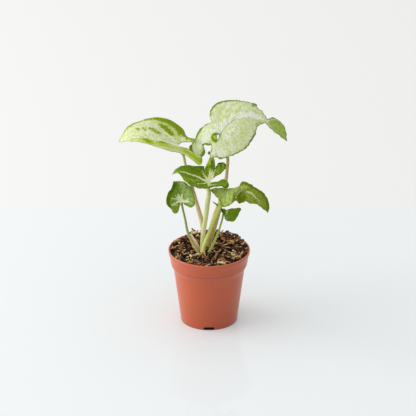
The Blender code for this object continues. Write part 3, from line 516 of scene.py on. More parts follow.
def nearest(points, line):
    """Distance from each point to the closest of a dense line's points, and that point's number."""
    best = np.full(len(points), 1e9)
    which = np.zeros(len(points), dtype=int)
    for start in range(0, len(points), 2000):
        part = points[start:start + 2000]
        far = np.linalg.norm(part[:, None] - line[None, :, :2], axis=-1)
        if line.shape[1] > 2:
            far = far - line[None, :, 2]
        which[start:start + 2000] = np.argmin(far, axis=1)
        best[start:start + 2000] = np.min(far, axis=1)
    return best, which


def flat_outline(leaf, marks):
    """The leaf's margin as a closed loop of even steps, with the small bumps of its edge."""
    spacing = marks["spacing"]
    left = even_steps(smooth_curve(np.array(leaf["left"])[:, :2], 12), spacing)
    right = even_steps(smooth_curve(np.array(leaf["right"])[::-1, :2], 12), spacing)
    outline = np.vstack([left, right])
    size, wave = marks["bumps"]
    if size:
        run = np.arange(len(outline)) * spacing
        ahead = np.roll(outline, -1, axis=0) - np.roll(outline, 1, axis=0)
        ahead /= np.linalg.norm(ahead, axis=1, keepdims=True)
        outward = np.column_stack([ahead[:, 1], -ahead[:, 0]])
        if crossings(outline, outline[:1] + outward[:1] * 0.3)[0]:
            outward = -outward
        swing = np.abs(np.sin(math.pi * run / wave + 0.8 * np.sin(run / wave))) - 0.5
        swing *= 0.7 + 0.5 * np.sin(2 * math.pi * run / (wave * 3.7))
        calm = np.linalg.norm(outline - outline[0], axis=1) / 6
        outline = outline + outward * (size * swing * np.clip(calm, 0, 1))[:, None]
    return outline


def flat_triangles(outline, spacing):
    """A flat outline filled with triangles: points (n, 2) and triangles; the outline's points come first."""
    low, high = outline.min(axis=0), outline.max(axis=0)
    row_step = spacing * math.sqrt(3) / 2
    rows = np.arange(low[1], high[1], row_step)
    grid = np.array([(x + (r % 2) * spacing / 2, y) for r, y in enumerate(rows)
                     for x in np.arange(low[0], high[0], spacing)])
    grid = grid[crossings(outline, grid)]
    far, _ = nearest(grid, outline)
    grid = grid[far > 0.7 * spacing]
    points = [Vector(p) for p in outline.tolist() + grid.tolist()]
    flat, _, triangles, _, _, _ = delaunay_2d_cdt(points, [], [list(range(len(outline)))], 1, 1e-5)
    return np.array([tuple(p) for p in flat]), np.array([tuple(t) for t in triangles])


def side_veins(rib, outline, fractions, sides, lean=52.0):
    """Veins that leave a rib and bend towards its end, each up to the margin."""
    veins = []
    for fraction in fractions:
        index = int(fraction * (len(rib) - 2))
        start = rib[index]
        ahead = rib[index + 1] - rib[index]
        ahead /= np.linalg.norm(ahead)
        for side in sides:
            heading = math.atan2(ahead[1], ahead[0]) + side * math.radians(lean)
            vein = [start]
            for _ in range(60):
                step = vein[-1] + 0.6 * np.array([math.cos(heading), math.sin(heading)])
                if not crossings(outline, step[None])[0] or np.min(np.linalg.norm(outline - step, axis=1)) < 0.9:
                    break
                vein.append(step)
                heading -= side * math.radians(1.7)
            if len(vein) > 4:
                veins.append(np.array(vein))
    return veins


def leaf_veins(marks, outline):
    """The main ribs and the side veins that leave them."""
    spine = even_steps(smooth_curve(marks["spine"], 8), 0.5)
    ribs = [even_steps(smooth_curve(rib, 8), 0.5) for rib in marks["ribs"]]
    sides = side_veins(spine, outline, (0.08, 0.2, 0.32, 0.44, 0.56, 0.68, 0.8), (-1, 1))
    for rib in ribs:
        sides += side_veins(rib, outline, (0.3, 0.6), (-1, 1), lean=48.0)
    return [spine] + ribs, sides


def strokes(chains):
    """Dense points (along, across, half width) of chains of strokes."""
    dense = [smooth_curve(chain, 10) if len(chain) > 2 else np.linspace(chain[0], chain[1], 14) for chain in chains]
    return np.vstack(dense) if dense else np.array([[-500.0, -500.0, 0.0]])


def blade(key, look):
    """A leaf blade with sunken veins, raised panels between them, a ruffled thin edge and a ribbed underside."""
    leaf, marks = LEAVES[key], MARKS[key]
    outline = flat_outline(leaf, marks)
    flat, triangles = flat_triangles(outline, marks["spacing"])
    rim, edge_point = nearest(flat, outline)
    ribs, sides = leaf_veins(marks, outline)
    main, main_point = nearest(flat, np.vstack(ribs))
    share = np.concatenate([np.linspace(0, 1, len(rib)) for rib in ribs])[main_point]
    side, _ = nearest(flat, np.vstack(sides))
    vein = np.minimum(main, side * 1.15)

    calm = smoothstep(rim, 0.0, 2.5)
    panels = marks["puff"] * (smoothstep(vein, 0.0, 3.2) - 0.5) * calm
    groove = -marks["groove"] * np.exp(-(main / 0.55) ** 2) * (1 - share) - 0.4 * marks["groove"] * np.exp(-(side / 0.4) ** 2)
    size, wave = marks["ruffle"]
    run = edge_point * marks["spacing"]
    ruffle = size * np.sin(2 * math.pi * run / wave + 1.3 * np.sin(run / wave)) * np.exp(-(rim / 2.2) ** 2)

    place = blade_surface(leaf)
    middle = place(flat, panels + groove + ruffle)
    corners = middle[triangles]
    face_normals = np.cross(corners[:, 1] - corners[:, 0], corners[:, 2] - corners[:, 0])
    normals = np.zeros_like(middle)
    for c in range(3):
        np.add.at(normals, triangles[:, c], face_normals)
    normals /= np.linalg.norm(normals, axis=1, keepdims=True)
    flip = np.sign(np.mean(normals @ turn_axes(leaf["heading"], leaf["pitch"], leaf["roll"])[:, 2]))
    normals *= flip

    half = BLADE_THICKNESS / 2 * (0.35 + 0.65 * smoothstep(rim, 0.0, EDGE_THINNING))
    keel = 0.55 * np.exp(-(main / 0.8) ** 2) * (1 - 0.85 * share) * smoothstep(rim, 0.3, 2.0)
    keel += 0.12 * np.exp(-(side / 0.45) ** 2) * calm
    top = middle + normals * half[:, None]
    under = middle - normals * (half + keel)[:, None]
    count = len(flat)
    first, second = triangles, triangles[:, ::-1] + count
    if flip < 0:
        first, second = second - count, first + count
    faces = first.tolist() + second.tolist()
    size_of_loop = len(outline)
    for k in range(size_of_loop):
        n = (k + 1) % size_of_loop
        wall = (n, k, k + count, n + count)
        faces.append(wall if flip > 0 else wall[::-1])

    def both(values):
        return np.concatenate([values, values])

    pale, _ = nearest(flat, strokes(marks["pale"]))
    dark, _ = nearest(flat, strokes(marks["dark"]))
    fold = np.array(ribs[0])
    _, close = nearest(flat, fold)
    tangent = np.gradient(fold, axis=0)[close]
    offset = flat - fold[close]
    hand = np.sign(tangent[:, 0] * offset[:, 1] - tangent[:, 1] * offset[:, 0]) * np.minimum(main, 50)
    lean = math.radians(52)
    streak = np.column_stack([flat[:, 0] * math.sin(lean) - main * math.cos(lean),
                              flat[:, 0] * math.cos(lean) + main * math.sin(lean), 20 * np.sign(hand)])
    glow, _ = nearest(flat, strokes(marks["glow"]))
    ripe, _ = nearest(flat, strokes(marks.get("ripe", [])))
    dry, _ = nearest(flat, strokes(marks.get("dry", [])))
    attributes = {
        "flat": np.column_stack([np.tile(flat, (2, 1)), np.zeros(2 * count)]), "streak": np.tile(streak, (2, 1)),
        "rim": both(rim), "main": both(main), "vein": both(vein), "pale": both(pale), "dark": both(dark),
        "glow": both(glow), "ripe": both(ripe), "dry": both(dry), "under": np.repeat([0.0, 1.0], count),
    }
    return add_piece(f"blade_{key}", np.vstack([top, under]), faces, look, [f"leaf_{key}"], attributes)


def rolled_edges():
    """The margin that rolls up around blade B's notch, as small tubes laid on the blade."""
    place = blade_surface(LEAVES["b"])
    for name, rows in ROLLED_EDGES:
        rows = np.array(rows)
        middle = place(rows[:, :2], rows[:, 2])
        route = [(*point, radius) for point, radius in zip(middle.tolist(), rows[:, 3].tolist())]
        look = Look(name, 0.5, 0.05)
        look.colour(linear(*ROLL_COLOURS.get(name, ROLL_COLOUR)))
        tube(name, route, look, sides=14, ridges=0, ridge=0.0)


def stalk_route(key):
    """The stalk's rows: its neck comes square to the blade's underside and meets it."""
    leaf = LEAVES[key]
    place = blade_surface(leaf)
    flat = np.array([[leaf.get("attach", ATTACH), 0.0]])
    reach = 0.2
    ahead = place(flat + [reach, 0])[0] - place(flat - [reach, 0])[0]
    across = place(flat + [0, reach])[0] - place(flat - [0, reach])[0]
    under = -np.cross(ahead, across)
    under /= np.linalg.norm(under)
    seat = place(flat)[0]
    rows = STALKS[key]
    radius = rows[0][3]
    foot = (rows[-1][0], rows[-1][1], STALK_FOOT, rows[-1][3] * 0.95)
    return [(*(seat + under * 0.15), radius * 0.8), (*(seat + under * 1.0), radius), (*(seat + under * (NECK + 0.6)), radius)] + rows + [foot]


def tube(name, rows, look, nodes=(), sides=28, steps=10, ridges=7, ridge=0.04, flatness=1.0):
    """A closed tapering tube with lengthwise ridges; attributes tell the place along it and around it."""
    curve = smooth_curve(rows, steps)
    centres, radii = curve[:, :3], curve[:, 3]
    run = np.append(0.0, np.cumsum(np.linalg.norm(np.diff(centres, axis=0), axis=1)))
    points, around = [], []
    side = np.array([0.0, -1.0, 0.0])
    for i, centre in enumerate(centres):
        ahead = centres[min(i + 1, len(centres) - 1)] - centres[max(i - 1, 0)]
        ahead /= np.linalg.norm(ahead)
        front = side - ahead * (side @ ahead)
        front /= np.linalg.norm(front)
        right = np.cross(ahead, front)
        if ridges:
            right *= np.sign(right[0]) or 1.0
        for k in range(sides):
            turn = 2 * math.pi * k / sides
            swell = 1 + ridge * math.cos(ridges * turn + 0.02 * run[i])
            points.append(centre + right * math.cos(turn) * radii[i] * swell
                          + front * math.sin(turn) * radii[i] * flatness * swell)
            around.append((math.cos(turn), math.sin(turn), run[i]))
    faces = []
    for i in range(len(centres) - 1):
        for k in range(sides):
            n = (k + 1) % sides
            faces.append((i * sides + k, i * sides + n, (i + 1) * sides + n, (i + 1) * sides + k))
    last = (len(centres) - 1) * sides
    faces += [tuple(range(sides))[::-1], tuple(range(last, last + sides))]
    around = np.array(around)
    attributes = {"around": around, "share": around[:, 2] / run[-1]}
    piece = add_piece(name, points, faces, look, nodes, attributes, 60.0)
    bm = bmesh.new()
    bm.from_mesh(piece.data)
    bmesh.ops.recalc_face_normals(bm, faces=bm.faces)
    bm.to_mesh(piece.data)
    bm.free()
    return piece


def turned(profile, sides):
    """Points and faces of a profile of (radius, z) turned about Z; it starts and ends on the axis."""
    points = [(0.0, 0.0, profile[0][1])]
    for radius, z in profile[1:-1]:
        for k in range(sides):
            turn = 2 * math.pi * k / sides
            points.append((radius * math.cos(turn), radius * math.sin(turn), z))
    points.append((0.0, 0.0, profile[-1][1]))
    rings = len(profile) - 2
    faces = []
    for k in range(sides):
        n = (k + 1) % sides
        faces.append((0, 1 + n, 1 + k))
        for r in range(rings - 1):
            a, b = 1 + r * sides, 1 + (r + 1) * sides
            faces.append((a + k, a + n, b + n, b + k))
        top = 1 + (rings - 1) * sides
        faces.append((top + k, top + n, len(points) - 1))
    return points, faces


def rounded(corners):
    """A profile whose corners (radius, z, rounding) are rounded by short arcs."""
    profile = []
    for i, (radius, z, rounding) in enumerate(corners):
        here = np.array([radius, z])
        if rounding == 0:
            profile.append((radius, z))
            continue
        before = np.array(corners[i - 1][:2]) - here
        after = np.array(corners[i + 1][:2]) - here
        start = here + before / np.linalg.norm(before) * rounding
        end = here + after / np.linalg.norm(after) * rounding
        for t in np.linspace(0, 1, 6):
            profile.append(tuple((1 - t) ** 2 * start + 2 * t * (1 - t) * here + t**2 * end))
    return profile


def pot_look():
    look = Look("terracotta_plastic", 0.35, 0.55)
    look.shader.inputs["Sheen Weight"].default_value = 0.1
    look.shader.inputs["Sheen Roughness"].default_value = 0.4
    look.shader.inputs["Sheen Tint"].default_value = (1.0, 0.92, 0.8, 1)
    place = look.tree.nodes.new("ShaderNodeTexCoord").outputs["Object"]
    base = look.mix(look.noise(place, 45, 3), linear(181, 82, 44), linear(172, 75, 38))
    height = look.attribute("height")
    # Painted shade: the colour darkens towards the pot's foot.
    low = look.mask(height, 0.55 * POT_HEIGHT, 0.0)
    base = look.mix(look.math("MULTIPLY", low, 0.35), base, linear(152, 60, 30))
    # Painted shade: a dark band along the crease under the collar.
    crease_shade = look.mask(look.math("ABSOLUTE", look.math("SUBTRACT", height, POT_HEIGHT - COLLAR_DROP)), 0.7, 0.1)
    base = look.mix(look.math("MULTIPLY", crease_shade, 0.5), base, linear(120, 48, 32))
    # Painted highlight: the top of the rim is lighter.
    lip = look.mask(height, POT_HEIGHT - 0.9, POT_HEIGHT - 0.1)
    base = look.mix(look.math("MULTIPLY", lip, 0.3), base, linear(208, 128, 98))
    look.colour(base)
    look.rough(look.math("ADD", 0.27, look.math("MULTIPLY", look.noise(place, 260, 3), 0.14)))
    look.bump(look.noise(place, 700, 3), 0.04, 0.3)
    return look


def pot():
    lip, inner_rim, shoulder = 0.5, RIM_RADIUS - WALL, POT_HEIGHT - SHOULDER_DROP
    corners = [
        (0, 0, 0), (PAD_RADIUS, 0, 0.3), (PAD_RADIUS + WALL, CHANNEL_HEIGHT, 0.4), (CHANNEL_RADIUS, CHANNEL_HEIGHT, 0.4),
        (CHANNEL_RADIUS + 0.8, 0, 0.3), (FOOT_RADIUS - lip / 2, 0, 0.6), (FOOT_RADIUS, lip, 0.3),
        (SHOULDER_RADIUS, shoulder, 0.6), (COLLAR_RADIUS, POT_HEIGHT - COLLAR_DROP, 1.0),
        (LIP_NECK_RADIUS, POT_HEIGHT - LIP_DROP, 1.5), (RIM_RADIUS, POT_HEIGHT - 2.2, 0.8),
        (RIM_RADIUS, POT_HEIGHT - 0.1, 0.45), (inner_rim, POT_HEIGHT - 0.1, 0.4),
        (LIP_NECK_RADIUS - WALL, POT_HEIGHT - LIP_DROP, 0.8),
        (COLLAR_RADIUS - WALL, POT_HEIGHT - COLLAR_DROP, 0.8), (SHOULDER_RADIUS - WALL, shoulder, 0.8),
        (FOOT_RADIUS - WALL + 0.4, FLOOR_TOP, 0.8), (0, FLOOR_TOP, 0),
    ]
    points, faces = turned(rounded(corners), POT_SIDES)
    piece = add_piece("nursery_pot", points, faces, pot_look(), ["pot"], None, 35.0)
    cutters = []
    for k in range(NOTCHES):
        turn = -math.pi / 2 + 2 * math.pi * k / NOTCHES
        cutters += [notch_cutter(turn), drain_cutter(turn)]
    group = bpy.data.collections.new("pot_cutters")
    for cutter in cutters:
        group.objects.link(cutter)
    boolean = piece.modifiers.new("notches", "BOOLEAN")
    boolean.operand_type = "COLLECTION"
    boolean.collection = group
    boolean.solver = "EXACT"
    depsgraph = bpy.context.evaluated_depsgraph_get()
    mesh = bpy.data.meshes.new_from_object(piece.evaluated_get(depsgraph))
    piece.modifiers.clear()
    piece.data = mesh
    for cutter in cutters:
        bpy.data.objects.remove(cutter, do_unlink=True)
    bpy.data.collections.remove(group)
    heights = [v.co.z / MM for v in mesh.vertices]
    mesh.attributes.new("height", "FLOAT", "POINT").data.foreach_set("value", heights)
    return piece


def bare_object(name, points, faces):
    mesh = bpy.data.meshes.new(name)
    mesh.from_pydata([tuple(MM * c for c in p) for p in points], [], faces)
    bm = bmesh.new()
    bm.from_mesh(mesh)
    bmesh.ops.recalc_face_normals(bm, faces=bm.faces)
    bm.to_mesh(mesh)
    bm.free()
    return bpy.data.objects.new(name, mesh)


def along(turn, distance, sideways, z):
    """A point given by its distance from the pot's axis in a direction, and sideways from it."""
    return (distance * math.cos(turn) - sideways * math.sin(turn),
            distance * math.sin(turn) + sideways * math.cos(turn), z)


def notch_cutter(turn):
    near, far = CHANNEL_RADIUS - 1.0, FOOT_RADIUS + 3.0
    half, top = NOTCH_WIDTH / 2, NOTCH_TOP_WIDTH / 2
    section = ((-half, -1.0), (half, -1.0), (half, 0.0), (top, NOTCH_HEIGHT), (-top, NOTCH_HEIGHT), (-half, 0.0))
    points = [along(turn, d, s, z) for d in (near, far) for s, z in section]
    n = len(section)
    faces = [tuple(range(n)), tuple(range(n, 2 * n))]
    faces += [(k, (k + 1) % n, n + (k + 1) % n, n + k) for k in range(n)]
    return bare_object("notch_cutter", points, faces)


def drain_cutter(turn):
    x, y, _ = along(turn, DRAIN_SEAT, 0.0, 0.0)
    sides = 32
    points = [(x + DRAIN_RADIUS * math.cos(2 * math.pi * k / sides), y + DRAIN_RADIUS * math.sin(2 * math.pi * k / sides), z)
              for z in (CHANNEL_HEIGHT - 1.0, FLOOR_TOP + 1.0) for k in range(sides)]
    faces = [tuple(range(sides)), tuple(range(sides, 2 * sides))]
    faces += [(k, (k + 1) % sides, sides + (k + 1) % sides, sides + k) for k in range(sides)]
    return bare_object("drain_cutter", points, faces)


def soil_rise(x, y):
    """The soil is heaped towards the back right and around the stalks, and is a little uneven."""
    back = (0.85 * y + 0.5 * x) / RIM_RADIUS
    heap = SOIL_RISE * min(1.0, max(0.0, 0.35 + back))
    far = math.hypot(x - MOUND_PLACE[0], y - MOUND_PLACE[1]) / MOUND_SPREAD
    return heap + MOUND * math.exp(-far * far) + 0.3 * math.sin(0.45 * x + 1.0) * math.cos(0.5 * y)


def soil_look():
    look = Look("damp_peat", 0.95, 0.2)
    place = look.tree.nodes.new("ShaderNodeTexCoord").outputs["Object"]
    crumbs = look.noise(place, 900, 5, 0.6)
    look.colour(look.mix(crumbs, linear(18, 11, 8), linear(74, 48, 32)))
    look.bump(crumbs, 0.8, 0.9)
    return look


def soil_bed():
    """The dark peat under the bark, closed, with a crumbly top."""
    sink = 1.6
    level = POT_HEIGHT - SOIL_DEPTH_BELOW_RIM - sink
    shoulder = POT_HEIGHT - SHOULDER_DROP
    edge = RIM_RADIUS - WALL - 0.2
    profile = [(0, FLOOR_TOP + 0.2), (FOOT_RADIUS - WALL, FLOOR_TOP + 0.2), (SHOULDER_RADIUS - WALL - 0.2, shoulder),
               (COLLAR_RADIUS - WALL - 0.2, POT_HEIGHT - COLLAR_DROP)]
    rings = 46
    profile += [(edge * (1 - r / rings), level) for r in range(rings)] + [(0, level)]
    points, faces = turned(profile, 140)
    rng = random.Random(CHIP_SEED)
    points = [(x, y, z + soil_rise(x, y) + rng.uniform(-0.4, 0.4) if z == level else z) for x, y, z in points]
    return add_piece("peat_bed", points, faces, soil_look(), ["soil"], None, 50.0)


def bark_look():
    look = Look("bark_chips", 0.8, 0.3)
    grain = look.attribute("grain", "Vector")
    tone = look.attribute("tone")
    base = look.ramp(tone, [
        (0.0, linear(10, 6, 4)), (0.25, linear(34, 20, 13)), (0.42, linear(102, 60, 40)), (0.54, linear(150, 90, 58)),
        (0.68, linear(178, 120, 74)), (0.8, linear(210, 156, 96)), (0.92, linear(242, 198, 130)),
        (1.0, linear(255, 230, 172))])
    fibres = look.noise(look.scaled(grain, (0.25, 2.4, 2.4)), 1.0, 4, 0.6)
    base = look.mix(look.mask(fibres, 0.35, 0.62), look.mix(0.6, base, linear(22, 12, 8)), base)
    flecks = look.noise(grain, 1.6, 3)
    base = look.mix(look.math("MULTIPLY", look.mask(flecks, 0.55, 0.75), 0.35), base, linear(206, 160, 112))
    look.colour(base)
    look.bump(fibres, 0.25, 0.8)
    return look


def chip_shape(rng, length, width, thickness):
    """A rough sliver: rings of a few corners along its length, narrowed at its ends."""
    rings, sides = 5, 6
    points = []
    bend = rng.uniform(-0.12, 0.12) * length
    for i in range(rings):
        t = i / (rings - 1)
        taper = 0.35 + 0.65 * math.sin(math.pi * (0.12 + 0.76 * t)) + rng.uniform(-0.12, 0.12)
        middle = ((t - 0.5) * length, bend * math.sin(math.pi * t), rng.uniform(-0.1, 0.1) * thickness)
        for k in range(sides):
            turn = 2 * math.pi * (k + 0.5) / sides
            corner = abs(math.cos(turn)) ** 0.6 * math.copysign(1, math.cos(turn))
            points.append((middle[0] + rng.uniform(-0.06, 0.06) * length,
                           middle[1] + corner * width / 2 * taper * rng.uniform(0.75, 1.1),
                           middle[2] + math.sin(turn) * thickness / 2 * taper * rng.uniform(0.75, 1.15)))
    faces = [tuple(range(sides))[::-1], tuple(range((rings - 1) * sides, rings * sides))]
    for i in range(rings - 1):
        for k in range(sides):
            n = (k + 1) % sides
            faces.append((i * sides + k, i * sides + n, (i + 1) * sides + n, (i + 1) * sides + k))
    return np.array(points), faces


# Chips that stand out, listed one by one: (x, y, height over the soil, length, width, thickness, heading, pitch, tone)
SPECIAL_CHIPS = [
    (20.0, -13.5, 1.2, 7.0, 2.6, 1.0, 22, 6, 0.98),
    (10.5, -19.5, 0.8, 4.0, 2.4, 1.2, 30, 4, 0.93),
    (4.5, -13.0, 2.0, 9.5, 1.7, 1.0, 62, 24, 0.60),
    (1.5, -19.0, 1.0, 3.4, 2.0, 1.2, 100, 8, 0.88),
    (24.0, -7.5, 1.0, 4.4, 1.3, 0.9, 60, 20, 0.86),
    (15.5, 10.0, 1.4, 8.0, 1.1, 0.8, -28, 8, 0.90),
    (22.0, 1.5, 1.2, 7.0, 1.3, 1.0, -16, 4, 0.78),
    (-18.5, -7.5, 1.2, 4.2, 0.8, 0.7, -35, 20, 1.0),
    (-15.5, -12.0, 1.0, 2.4, 1.4, 0.9, 20, 0, 1.0),
]


def bark():
    """Loose bark chips heaped on the peat, in a lower dark layer and an upper lighter one."""
    rng = random.Random(CHIP_SEED)
    all_points, all_faces, grain, tone = [], [], [], []
    placed = [(x, y, lift, length, width, thick, heading, pitch, 0.0, shade)
              for x, y, lift, length, width, thick, heading, pitch, shade in SPECIAL_CHIPS]
    for index in range(CHIP_COUNT):
        upper = index > 0.45 * CHIP_COUNT
        while True:
            turn = rng.uniform(0, 2 * math.pi)
            reach = (RIM_RADIUS - WALL - 1.2) * math.sqrt(rng.random())
            x, y = reach * math.cos(turn), reach * math.sin(turn)
            if math.hypot(x + 3.6, y + 3.0) > 5.0:
                break
        size = rng.random() ** 2
        length = 1.8 + 4.4 * size
        width = (1.1 + 1.7 * size) * rng.uniform(0.5, 1.0)
        thick = width * rng.uniform(0.35, 0.7)
        lift = rng.uniform(0.2, 1.9) if upper else rng.uniform(-1.0, 0.3)
        lift += 1.3 * float(smoothstep(y, 6.0, 24.0))
        shade = min(1.0, max(0.0, rng.gauss(0.44, 0.27))) if upper else rng.uniform(0.0, 0.3)
        if upper and rng.random() < 0.12:
            shade = rng.uniform(0.75, 1.0)
        placed.append((x, y, lift, length, width, thick, rng.uniform(0, 360), rng.gauss(0, 22), rng.gauss(0, 30), shade))
    for x, y, lift, length, width, thick, heading, pitch, roll, shade in placed:
        points, faces = chip_shape(rng, length, width, thick)
        room = RIM_RADIUS - WALL - 0.3
        centre = np.array([x, y, POT_HEIGHT - SOIL_DEPTH_BELOW_RIM - 0.6 + soil_rise(x, y) + lift])
        spots = centre + points @ turn_axes(heading, pitch, roll).T
        reach = np.linalg.norm(spots[:, :2], axis=1)
        spots[:, :2] *= np.minimum(1.0, room / np.maximum(reach, 1e-6))[:, None]
        start = len(all_points)
        all_points.extend(spots.tolist())
        all_faces.extend([tuple(start + v for v in f) for f in faces])
        shift = np.array([rng.uniform(0, 50) for _ in range(3)])
        grain.extend((points + shift).tolist())
        tone.extend([shade] * len(points))
    attributes = {"grain": grain, "tone": tone}
    return add_piece("bark_chips", all_points, all_faces, bark_look(), (), attributes, 38.0)


def leaf_look(name, ground, veil, deep, glow, dark, edge, pale, under, options):
    """A leaf's colour in layers: clouds, glowing parts, streaky mottle, margin, blotches, veins and underside. On blade
    E the glowing part is a painted sheen and the blotch is painted shade; on blade B a painted shade line follows the
    midrib's groove.
    """
    look = Look(name, 0.5, options.get("gloss", 0.012))
    flat, streak = look.attribute("flat", "Vector"), look.attribute("streak", "Vector")
    rim, vein = look.attribute("rim"), look.attribute("vein")
    clouds = look.mask(look.noise(flat, 0.16, 4, 0.6, 0.4), 0.36, 0.62)
    fine = look.mask(look.noise(look.scaled(streak, (1.0, 0.45, 1.0)), 0.9, 4, 0.7), 0.34, 0.66)
    grit = look.mask(look.noise(flat, 1.3, 3, 0.6), 0.34, 0.66)

    def ragged(value, amount, noise):
        return look.math("ADD", value, look.math("MULTIPLY", look.math("SUBTRACT", noise, 0.5), amount))

    def layer(base, mask, share, colour):
        return look.mix(look.math("MULTIPLY", mask, share), base, linear(*colour))

    base = look.mix(clouds, linear(*ground), linear(*veil))
    # Glowing parts: lighter colour, which on blade E is a painted sheen on its lit right half.
    glowing = look.mask(ragged(look.attribute("glow"), 3.0, fine), 1.0, -1.0)
    base = layer(base, glowing, options.get("glow_share", 0.8), glow)
    base = layer(base, look.mask(fine, 0.45, 0.8), options.get("mottle", 0.4), deep)
    patches = look.mask(look.noise(look.scaled(streak, (0.5, 0.28, 1.0)), 1.0, 2, 0.5), 0.5, 0.64)
    base = layer(base, look.math("MULTIPLY", patches, look.mask(fine, 0.1, 0.7)), options.get("patches", 0.4), deep)
    base = layer(base, look.mask(grit, 0.32, 0.12), options.get("flecks", 0.4), pale)
    if "ripe" in options:
        ripe = look.mask(ragged(look.attribute("ripe"), 2.0, fine), 0.8, -0.8)
        base = layer(base, ripe, 1.0, options["ripe"])
        base = layer(base, look.math("MULTIPLY", ripe, look.mask(fine, 0.5, 0.9)), 0.5, dark)
    width = options.get("edge_width", 0.5)
    edging = look.mask(ragged(rim, options.get("edge_torn", 0.8), grit), width + 0.25, width - 0.25)
    base = layer(base, edging, options.get("edge_share", 0.8), edge)
    torn = options.get("torn", 0.8)
    # Dark strokes: blotches and dark margins, and on blade E painted shade on its left part, which turns from the
    # light.
    blotch_and_shade = look.mask(ragged(ragged(look.attribute("dark"), torn, fine), 0.8, grit), 0.25, -0.25)
    base = layer(base, blotch_and_shade, options.get("dark_share", 0.95), dark)
    base = layer(base, look.math("MULTIPLY", blotch_and_shade, look.mask(grit, 0.3, 0.1)), options.get("dark_flecks", 0.25), veil)
    lines = look.mask(vein, 0.5, 0.0)
    base = layer(base, lines, options.get("vein_share", 0.25), options.get("vein", pale))
    bright = look.mask(ragged(look.attribute("pale"), options.get("feather", 0.6), grit), 0.22, -0.2)
    base = layer(base, bright, options.get("pale_share", 0.95), pale)
    base = layer(base, look.math("MULTIPLY", bright, look.mask(fine, 0.5, 0.9)), options.get("green_in_pale", 0.35), veil)
    # Painted shade: a dark line along blade B's midrib stands for the shadow in its groove.
    if "spine" in options:
        parts = look.tree.nodes.new("ShaderNodeSeparateXYZ")
        look.feed(parts.inputs[0], flat)
        line = look.mask(look.attribute("main"), 0.5, 0.1)
        start = look.math("MULTIPLY", look.mask(parts.outputs["X"], 0.6, 1.6), look.mask(parts.outputs["X"], 21.0, 15.0))
        base = layer(base, look.math("MULTIPLY", line, start), 0.85, options["spine"])
    base = layer(base, look.mask(ragged(look.attribute("dry"), 0.4, grit), 0.2, -0.2), 0.9, DRY_TIP)
    back = look.mix(clouds, linear(*under), look.mix(0.5, linear(*under), base))
    below = look.mask(look.attribute("under"), 0.4, 0.6)
    look.colour(look.mix(below, base, back))
    look.rough(look.math("ADD", options.get("roughness", 0.44), look.math("MULTIPLY", fine, 0.12)))
    look.bump(look.math("ADD", fine, look.math("MULTIPLY", grit, 0.6)), 0.06, 0.5)
    look.shader.inputs["Subsurface Weight"].default_value = 0.04
    look.shader.inputs["Subsurface Radius"].default_value = (0.6, 1.0, 0.25)
    look.shader.inputs["Subsurface Scale"].default_value = 0.5 * MM
    return look


LEAF_COLOURS = {
    "a": dict(ground=(213, 218, 186), veil=(204, 211, 160), deep=(158, 180, 50), glow=(190, 202, 80), dark=(120, 144, 0),
              edge=(128, 148, 0), pale=(230, 234, 214), under=(160, 180, 90),
              options=dict(mottle=0.6, patches=0.35, edge_width=0.4, edge_share=0.95, vein_share=0.1, torn=2.4,
                           dark_share=1.0, dark_flecks=0.12, glow_share=0.95, ripe=(162, 186, 14))),
    # Blade B's spine colour is painted shade in its midrib's groove.
    "b": dict(ground=(219, 225, 190), veil=(204, 214, 152), deep=(166, 186, 96), glow=(228, 233, 216),
              dark=(94, 120, 6), edge=(98, 120, 14), pale=(232, 236, 224), under=(176, 192, 138),
              options=dict(mottle=0.45, patches=0.55, edge_width=0.45, edge_share=0.9, edge_torn=1.6, vein_share=0.06,
                           torn=0.8, flecks=0.35, dark_share=0.95, spine=(104, 116, 56), glow_share=0.8,
                           ripe=(158, 180, 88))),
    "c": dict(ground=(110, 138, 8), veil=(122, 150, 24), deep=(74, 104, 0), glow=(172, 194, 66), dark=(64, 94, 0),
              edge=(80, 106, 0), pale=(232, 238, 186), under=(120, 146, 60),
              options=dict(mottle=0.5, edge_width=0.3, edge_share=0.7, vein_share=0.1, vein=(140, 164, 60),
                           flecks=0.12, glow_share=0.9)),
    "d": dict(ground=(112, 130, 24), veil=(122, 138, 40), deep=(84, 104, 0), glow=(164, 186, 94), dark=(98, 116, 0),
              edge=(88, 106, 0), pale=(210, 218, 164), under=(130, 150, 76),
              options=dict(mottle=0.25, edge_width=0.35, edge_share=0.9, vein_share=0.06, vein=(160, 178, 100),
                           flecks=0.25, torn=1.2, pale_share=0.85, glow_share=0.9)),
    # Blade E: dark is painted shade and glow is a painted sheen.
    "e": dict(ground=(116, 146, 32), veil=(124, 152, 46), deep=(88, 116, 4), glow=(158, 182, 108), dark=(78, 108, 0),
              edge=(88, 114, 2), pale=(232, 238, 196), under=(120, 146, 70),
              options=dict(mottle=0.4, edge_width=0.3, edge_share=0.7, vein_share=0.08, vein=(150, 174, 92),
                           flecks=0.15, torn=1.2)),
    "f": dict(ground=(110, 138, 8), veil=(118, 144, 20), deep=(80, 108, 0), glow=(142, 166, 92), dark=(66, 96, 0),
              edge=(80, 106, 0), pale=(222, 230, 192), under=(104, 130, 40),
              options=dict(mottle=0.5, edge_width=0.25, edge_share=0.6, vein_share=0.08, vein=(130, 156, 54),
                           flecks=0.1)),
}
DRY_TIP = (146, 88, 40)


